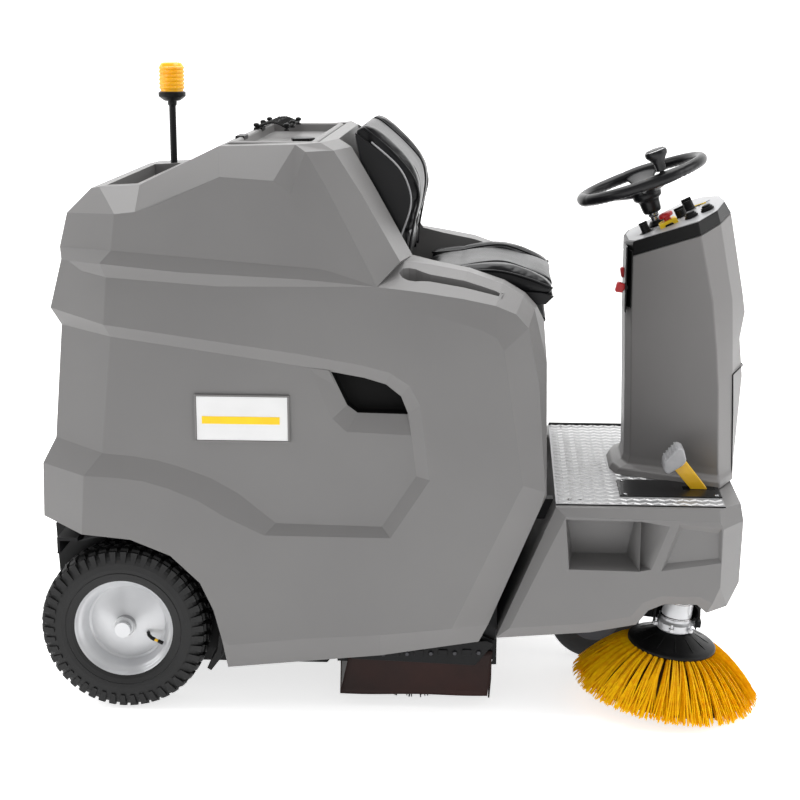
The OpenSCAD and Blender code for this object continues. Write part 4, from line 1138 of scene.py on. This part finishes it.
hood_in = [(51 * math.cos(math.radians(a)), 51 * math.sin(math.radians(a))) for a in range(190, -11, -12)]
make("brush_motor_guard", [moved(slab(hood_arc + hood_in, 156, 243, "z"), SIDE),
                           moved(box((-84, 52, 150), (66, 55, 250)), SIDE),
                           moved(box((52, 10, 156), (66, 52, 172)), SIDE)], FRAME, "side_arm",
     edge=0.8)
paint("side_brush_arm", FRAME)

# ---------------------------------------------------------------- main roller

tufts = []
rows = 22
for row in range(rows):
    for k in range(44):
        y = -338 + 676 * k / 43
        a = 2 * math.pi * row / rows + abs(y) / 345 * 0.95
        for q in range(4):
            b = a + rng.gauss(0, 0.03)
            yy = max(-343.0, min(343.0, y + rng.gauss(0, 4.2)))
            R = 135 + rng.random() * 2
            V = []
            for r, w in ((72, 2.6), (112, 2.3), (R, 1.8)):
                for t in (0, 2.1, 4.2):
                    V.append((r * math.cos(b) + w * math.sin(b) * math.cos(t), yy + w * math.sin(t),
                              r * math.sin(b) - w * math.cos(b) * math.cos(t)))
            F = between(0, 3) + between(1, 3) + [(6, 7, 8)]
            tufts.append((V, F))
make("roller_tufts", [moved(t, shift(ROLLER_X, 0, ROLLER_Z)) for t in tufts], FIBRE, "roller",
     ["roller_bristles"], merge=False)
make("roller_spacer", [rod([(ROLLER_X, -342, ROLLER_Z), (ROLLER_X, 342, ROLLER_Z)], 74, 64)], BLACK,
    "roller")
paint("roller_core", GREASE)
paint("roller_arms", FRAME)

# ---------------------------------------------------------------- seat


def baked(o):
    dg = bpy.context.evaluated_depsgraph_get()
    me = bpy.data.meshes.new_from_object(o.evaluated_get(dg), preserve_all_data_layers=True, depsgraph=dg)
    o.modifiers.clear()
    o.data = me
    for p in me.polygons:
        p.use_smooth = True


def puff(name, parts, body, hides=(), cap=11.0, hold=None, round_mm=16.0, mat=None):
    """A sewn cover blown up by cloth pressure; hold(x, y, z) in mm keeps seams and the back down."""
    o = make(name, parts, mat or VINYL, body, hides)
    bevel(o, round_mm, 4, 30.0)
    rm = o.modifiers.new("even", "REMESH")
    rm.mode, rm.voxel_size = "VOXEL", SEAT_VOXEL
    baked(o)
    start = [v.co.copy() for v in o.data.vertices]
    origin = P(0, 0, 0)
    grp = o.vertex_groups.new(name="held")
    for i, c in enumerate(start):
        mm = (c - origin) * 1000
        w = hold(mm.x, mm.y, mm.z) if hold else 0.0
        if w > 0:
            grp.add([i], min(w, 1.0), "REPLACE")
    m = o.modifiers.new("cloth", "CLOTH")
    st = m.settings
    st.quality, st.mass, st.air_damping = 5, 0.3, 4.0
    st.tension_stiffness = st.compression_stiffness = 12.0
    st.shear_stiffness, st.bending_stiffness = 4.0, 0.4
    st.use_pressure, st.uniform_pressure_force = True, 4.0
    st.vertex_group_mass = "held"
    st.effector_weights.gravity = 0.0
    m.collision_settings.use_collision = False
    m.collision_settings.use_self_collision = False
    m.point_cache.frame_start, m.point_cache.frame_end = 1, SIM_LAST
    for f in range(1, SIM_LAST + 1):
        bpy.context.scene.frame_set(f)
    baked(o)
    for v, c in zip(o.data.vertices, start):
        d = v.co - c
        if d.length > cap / 1000:
            v.co = c + d.normalized() * (cap / 1000)
    bpy.context.scene.frame_set(1)
    s = o.modifiers.new("fine", "SUBSURF")
    s.levels = s.render_levels = 1
    return o


def seam(*values, axis=0, width=5.0):
    def hold(x, y, z):
        p = (x, y, z)[axis]
        return max([0.0] + [1.0 - abs(p - v) / width for v in values])
    return hold


def smooth_line(pts, n=6):
    out = []
    for i in range(len(pts) - 1):
        p0, p1, p2, p3 = pts[max(i - 1, 0)], pts[i], pts[i + 1], pts[min(i + 2, len(pts) - 1)]
        for k in range(n):
            t = k / n
            out.append(tuple(0.5 * (2 * b + (c - a) * t + (2 * a - 5 * b + 4 * c - d) * t * t +
                                    (3 * b - a - 3 * c + d) * t ** 3) for a, b, c, d in zip(p0, p1, p2, p3)))
    return out + [tuple(pts[-1])]


pad_top = [(712, 1040), (781, 1056), (837, 1066), (889, 1068), (951, 1056), (1022, 1034)]
pad = smooth_line(pad_top, 4) + [(1034, 1018), (1018, 1000), (716, 1000)]
wing_top = [(720, 1054), (790, 1060), (850, 1072), (905, 1076), (955, 1062), (1016, 1036)]
wing = smooth_line(wing_top, 4) + [(1032, 1014), (1014, 998), (720, 998)]
flute = seam(800, 880, 958)
puff("cushion_pad", [slab(pad, -146, 146)], "seat", ["seat_cushion"],
     hold=lambda x, y, z: max(1.0 if z < 1004 else 0.0, flute(x, y, z)))
for sg, nm in ((-1, "right"), (1, "left")):
    puff("cushion_bolster_" + nm, [slab(wing, min(sg * 156, sg * 220), max(sg * 156, sg * 220))], "seat",
         hold=lambda x, y, z: 1.0 if z < 1003 else 0.0, round_mm=20)
back_front = [(676, 1066), (678, 1130), (696, 1200), (702, 1250), (690, 1296), (646, 1344), (592, 1392),
    (570, 1402)]
back_rear = [(553, 1392), (580, 1290), (604, 1200), (616, 1110), (628, 1056)]
back = smooth_line(back_front, 4) + smooth_line(back_rear, 3)
ribs = seam(1140, 1220, 1296, axis=2)
puff("back_pad", [slab(back, -140, 140)], "seat", ["seat_backrest"],
     hold=lambda x, y, z: max(1.0 if x < 620 - (z - 1110) * 0.16 + 5 else 0.0, ribs(x, y, z)))
wing_front = [(682, 1070), (685, 1130), (702, 1200), (710, 1250), (698, 1296), (654, 1346), (600, 1396),
    (576, 1405)]
wing_back = smooth_line(wing_front, 4) + smooth_line(back_rear, 3)
for sg, nm in ((-1, "right"), (1, "left")):
    puff("back_bolster_" + nm, [slab(wing_back, min(sg * 150, sg * 216), max(sg * 150, sg * 216))], "seat",
         hold=lambda x, y, z: 1.0 if x < 620 - (z - 1110) * 0.16 + 4 else 0.0, round_mm=20)

# piping along the seams
pipes = []
for sg in (-1, 1):
    front = [(581, 1403), (617, 1375), (660, 1336), (700, 1286), (714, 1240), (704, 1186), (692, 1118),
        (688, 1070)]
    pipes.append(rod([(x - 9, sg * 217, z - 3) for x, z in smooth_line(front, 5)], 3.0, 8))
    pipes.append(rod([(x + 1, sg * 145, z) for x, z in smooth_line(back_front, 5)], 2.6, 8))
    pipes.append(rod([(x, sg * 151, z - 3) for x, z in smooth_line(wing_top, 5)], 2.8, 8))
    pipes.append(rod([(x, sg * 225, z + 1) for x, z in smooth_line(
        [(730, 1046), (803, 1052), (860, 1060), (916, 1056), (980, 1038), (1028, 1018)], 5)], 3.0, 8))
make("seat_piping", pipes, SATIN, "seat", smooth=True)

# moulded shell: curved sheet with side wings
spine = smooth_line([(552, 1380), (570, 1300), (588, 1180), (598, 1080), (618, 1012), (668, 984), (760, 980),
                     (900, 980), (990, 984), (1030, 996)], 5)


def shell_sheet(t):
    V, F, n = [], [], len(spine)
    across = [-226, -222, -205, -120, 0, 120, 205, 222, 226]
    lift = [14, 4, 0, 0, 0, 0, 0, 4, 14]
    for i, (x, z) in enumerate(spine):
        a = spine[max(i - 1, 0)]
        b = spine[min(i + 1, n - 1)]
        tx, tz = b[0] - a[0], b[1] - a[1]
        q = math.hypot(tx, tz)
        nx, nz = -tz / q, tx / q
        k = (i / (n - 1))
        shrink = 1 - 0.05 * max(0.0, 1 - k * 9) - 0.05 * max(0.0, (k - 0.86) * 7)
        for y, h in zip(across, lift):
            V.append((x + nx * (h + t), y * shrink, z + nz * (h + t)))
    m = len(across)
    for i in range(n - 1):
        F += [(i * m + j, i * m + j + 1, (i + 1) * m + j + 1, (i + 1) * m + j) for j in range(m - 1)]
    return V, F


sh = make("seat_bucket", [shell_sheet(0)], SATIN, "seat", ["seat_shell"])
w = sh.modifiers.new("wall", "SOLIDIFY")
w.thickness, w.offset = 0.005, 0
bevel(sh, 1.6, 2, 40.0)
for p in sh.data.polygons:
    p.use_smooth = True
wing_side = smooth_line([(553, 1388), (590, 1362), (655, 1310), (682, 1258), (685, 1211), (664, 1147),
    (650, 1107),
                         (660, 1040), (668, 994)], 4) + [(618, 1010), (598, 1080), (588, 1180), (570, 1300)]
lip_side = [(640, 1004), (668, 994), (760, 1006), (900, 1012), (1000, 1008), (1032, 1000), (1012, 980),
    (668, 978)]
for sg, nm in ((-1, "right"), (1, "left")):
    make("seat_wing_" + nm, [slab(wing_side, min(sg * 219, sg * 227), max(sg * 219, sg * 227)),
                             slab(lip_side, min(sg * 219, sg * 227), max(sg * 219, sg * 227))],
         SATIN, "seat", edge=2.4, segs=3)
    # pale grey rod along the wing's front edge: a painted highlight on the black shell
    edge_line = smooth_line([(592, 1366), (655, 1310), (682, 1258), (685, 1211), (664, 1147), (650, 1107)], 5)
    make("seat_wing_lip_" + nm, [rod([(x, sg * 227.5, z) for x, z in edge_line], 2.2, 8)], PALE, "seat",
         smooth=True)
make("seat_latch", [moved(box((-9, -16, -13), (9, 16, 13)), shift(640, -205, 985))], BLACK,
    "seat",
     edge=3.0)
paint("seat_plate", FRAME)
paint("seat_rails", STEEL)

# ---------------------------------------------------------------- badge, beacon, lid and tray

BADGE_Y = -446.5                                 # outer face of the badge
frame_bars = [box((191, BADGE_Y - 2.2, 792), (415, BADGE_Y + 4, 796)),
    box((191, BADGE_Y - 2.2, 682), (415, BADGE_Y + 4, 686)),
              box((191, BADGE_Y - 2.2, 686), (195, BADGE_Y + 4, 792)),
              box((411, BADGE_Y - 2.2, 686), (415, BADGE_Y + 4, 792))]
make("badge_frame", frame_bars, GREY_COL, "machine", edge=1.0)
make("badge_plate", [box((195.5, BADGE_Y - 1.2, 686.5), (410.5, BADGE_Y + 4, 791.5))], WHITE, "machine",
    edge=0.8)
make("badge_stripe", [box((208, BADGE_Y - 1.9, 726), (392, BADGE_Y - 0.6, 744))], YELLOW, "machine",
    edge=0.3)

BX, BY = 26.0, 236.0
n = 96
prof = [(25, 1463), (30.5, 1463), (30.5, 1468)]
for k in range(6):
    z = 1468 + k * 10.2
    prof += [(31.4, z + 1.0), (33.6, z + 3.0), (33.6, z + 7.2), (31.4, z + 9.2)]
prof += [(30, 1531), (27, 1536), (20, 1538.5), (0, 1539)]
V, F = lathe(prof, n)
V = [(BX + a * (1 - (0.02 if (i % n) % 4 < 2 and 1468 < c < 1530 else 0)),
    BY + b * (1 - (0.02 if (i % n) % 4 < 2 and
     1468 < c < 1530 else 0)), c) for i, (a, b, c) in enumerate(V)]
make("beacon_dome", [(V, F)], AMBER, "machine", ["beacon_lens"], merge=False)
make("beacon_foot", [moved(lathe([(0, 1438), (20, 1438), (25, 1441), (35, 1449), (36, 1450), (36, 1461),
    (28, 1464),
                                  (0, 1464)], 64), shift(BX, BY, 0))], BLACK, "machine",
     ["beacon_base"], edge=0.8, angle=30)
make("beacon_core", [moved(lathe([(0, 1462), (11, 1462), (12, 1500), (8, 1512), (0, 1514)], 32),
                           shift(BX, BY, 0))], STEEL, "machine", smooth=True)
make("beacon_mast", [moved(lathe([(0, 1190), (17, 1190), (17, 1195), (13, 1197), (11, 1212), (9, 1214),
    (9, 1424),
                                  (12, 1428), (12, 1440), (0, 1440)], 40), shift(BX, BY, 0))],
                                  SATIN,
     "machine", ["beacon_pole"], edge=0.6, angle=30)

# filter lid: panel with a raised rim, grip, hinge leaves and elastic net
lx0, lx1 = 266.0, 474.0
panel = []
for inset, z in ((2, 1331), (0, 1340), (0, 1366), (3, 1373), (8, 1375), (14, 1375), (17, 1372), (20, 1352)):
    panel.append([(lx0 + inset, -343 + inset, z), (lx1 - inset, -343 + inset, z),
        (lx1 - inset, 343 - inset, z),
                  (lx0 + inset, 343 - inset, z)])
V = [p for ring in panel for p in ring]
F = [(4 * i + k, 4 * i + (k + 1) % 4, 4 * i + 4 + (k + 1) % 4, 4 * i + 4 + k) for i in range(len(panel) - 1)
     for k in range(4)] + [(0, 3, 2, 1), tuple(4 * (len(panel) - 1) + k for k in range(4))]
o = make("lid_panel", [(V, F)], GREY, "lid", ["filter_lid"], edge=3.0, segs=3, angle=30)
make("lid_grip", [slab([(380, 40), (420, 30), (432, 0), (420, -30), (380, -40), (372, 0)], 1352.5, 1360, "z"),
                  box((262, -203, 1366), (284, -137, 1378)), box((262, 97, 1366), (284, 163, 1378))], BLACK,
                  "lid",
     edge=2.0)
cords = []
for k in range(9):
    y = 74 + 30 * k
    cords.append(rod([(276 + 74 * t / 10, y, 1379 + 13 * math.sin(math.pi * t / 10)) for t in range(11)],
        2.3, 8))
for k in range(4):
    x = 282 + 20 * k
    h = 13 * math.sin(math.pi * (x - 276) / 74)
    cords.append(rod([(x, 66 + 250 * t / 14, 1379 + h + 2.4 * math.sin(t * 1.6)) for t in range(15)], 2.3, 8))
for x in (274, 352):
    cords.append(rod([(x, 64, 1379), (x, 190, 1382), (x, 318, 1379)], 3.4, 10))
make("elastic_net", cords, CORD, "lid", ["luggage_net"], smooth=True)
knobs = [moved(lathe([(0, 1372), (7, 1372), (7, 1375), (3, 1377), (3, 1381), (7, 1383), (8, 1387),
    (6, 1390.5),
                      (0, 1392)], 24), shift(x, y, 0)) for x in (274, 352) for y in (68, 190,
                      314)]
make("net_hooks", knobs, BLACK, "lid", smooth=True)

# tool tray: sloping divider, and a near-black sheet on the tray floor as painted shade
make("tray_divider", [slab([(-28, -53), (-25, -52), (33, -348), (30, -350)], 1186, 1240, "z")], PALE,
    "machine",
     edge=1.6)
make("tray_floor_shade", [box((-70, -330, 1184.6), (120, 180, 1186.4))], PAINTED_SHADE, "machine", edge=0.5)

# ---------------------------------------------------------------- flaps, brackets and small parts below

for sg, nm in ((-1, "right"), (1, "left")):
    V, F = [], []
    cols, rws = 20, 8
    for i in range(cols + 1):
        t = i / cols
        x0, x1 = 523 + (884 - 523) * t, 545 + (896 - 545) * t
        for j in range(rws + 1):
            u = j / rws
            x = x0 + (x1 - x0) * u
            z = (36 + 3 * t) + (136 + 14 * t - 36) * u
            bulge = 3.2 * math.sin(t * 9.0) * (1 - u) + 5 * (1 - u) ** 2
            V.append((x, sg * (388 + bulge), z))
    for i in range(cols):
        for j in range(rws):
            F.append((i * (rws + 1) + j, (i + 1) * (rws + 1) + j, (i + 1) * (rws + 1) + j + 1,
                i * (rws + 1) + j + 1))
    o = make("side_flap_" + nm, [(V, F)], BROWN, "machine",
        ["sealing_strips"] if sg < 0 else (),
             smooth=True)
    w = o.modifiers.new("wall", "SOLIDIFY")
    w.thickness, w.offset = 0.004, 0
    bracket = [(551, 128), (854, 118), (899, 176), (880, 182), (566, 158)]
    a, b = sorted((sg * 394, sg * 398))
    make("flap_rail_" + nm, [slab(bracket, a, b)] + [box((590 + 58 * k, min(sg * 393, sg * 402), 136 + 2 * k),
                                                         (612 + 58 * k, max(sg * 393, sg * 402), 152 + 2 * k))
                                                     for k in range(5)], FRAME, "machine",
                                                         edge=1.5)
    bolts = [moved(lathe([(0, 5), (4.5, 5), (6, 3.5), (6.4, 0)], 6),
                   turn("X", 90 if sg < 0 else -90,
                   (572 + 58 * k, sg * 398, 141 + 2.2 * k))) for k in range(6)]
    make("flap_bolts_" + nm, bolts, GREASE, "machine", edge=0.4)
make("rear_flap", [slab([(518, 16), (521, 16), (523, 90), (524, 150), (520, 150), (520, 90)], -345, 345)],
    BROWN,
     "machine", edge=0.6)
make("front_lip", [slab([(885, 10), (889, 10), (893, 60), (892, 118), (887, 118), (887, 60)], -338, 338)],
    BROWN,
     "front_flap", ["debris_flap"], edge=0.6)
paint("flap_brackets", FRAME)
for sg, nm in ((-1, "right"), (1, "left")):
    guard = [(236, 200), (250, 200), (246, 150), (214, 108), (204, 114), (230, 160)]
    make("mud_guard_" + nm, [slab(guard, min(sg * 332, sg * 444), max(sg * 332, sg * 444))], BLACK, "machine",
         ["mud_flaps"] if sg < 0 else (), edge=0.8)
    back_plate = [(-184, 440), (-60, 448), (-60, 400), (-120, 330), (-150, 296), (-179, 317)]
    make("rear_arch_" + nm, [slab(back_plate, min(sg * 322, sg * 330), max(sg * 322, sg * 330))], BLACK,
        "machine",
         edge=1.0)
for nd in ("chassis", "inner_fenders", "brush_tunnel", "steering_bearing"):
    paint(nd, FRAME)
paint("wheel_bearings", STEEL)
paint("rear_axles", ZINC)
paint("battery_pack", BLACK)
bin_parts = [slab([(-171, 76), (-172, 440), (495, 440), (495, 90), (480, 72), (-158, 70)], -285, 285)]
bin_parts += [box((-173.5, y - 5, 90), (-170, y + 5, 360)) for y in (-240, -160, 160, 240)]
bin_parts += [slab([(-173, 378), (-178, 390), (-178, 412), (-173, 424)], -124, 124)]
make("waste_bin", bin_parts, BLACK, "container", ["waste_container"], edge=5.0, segs=3)
paint("suction_fan", GREASE)
paint("air_filter", PAPER)
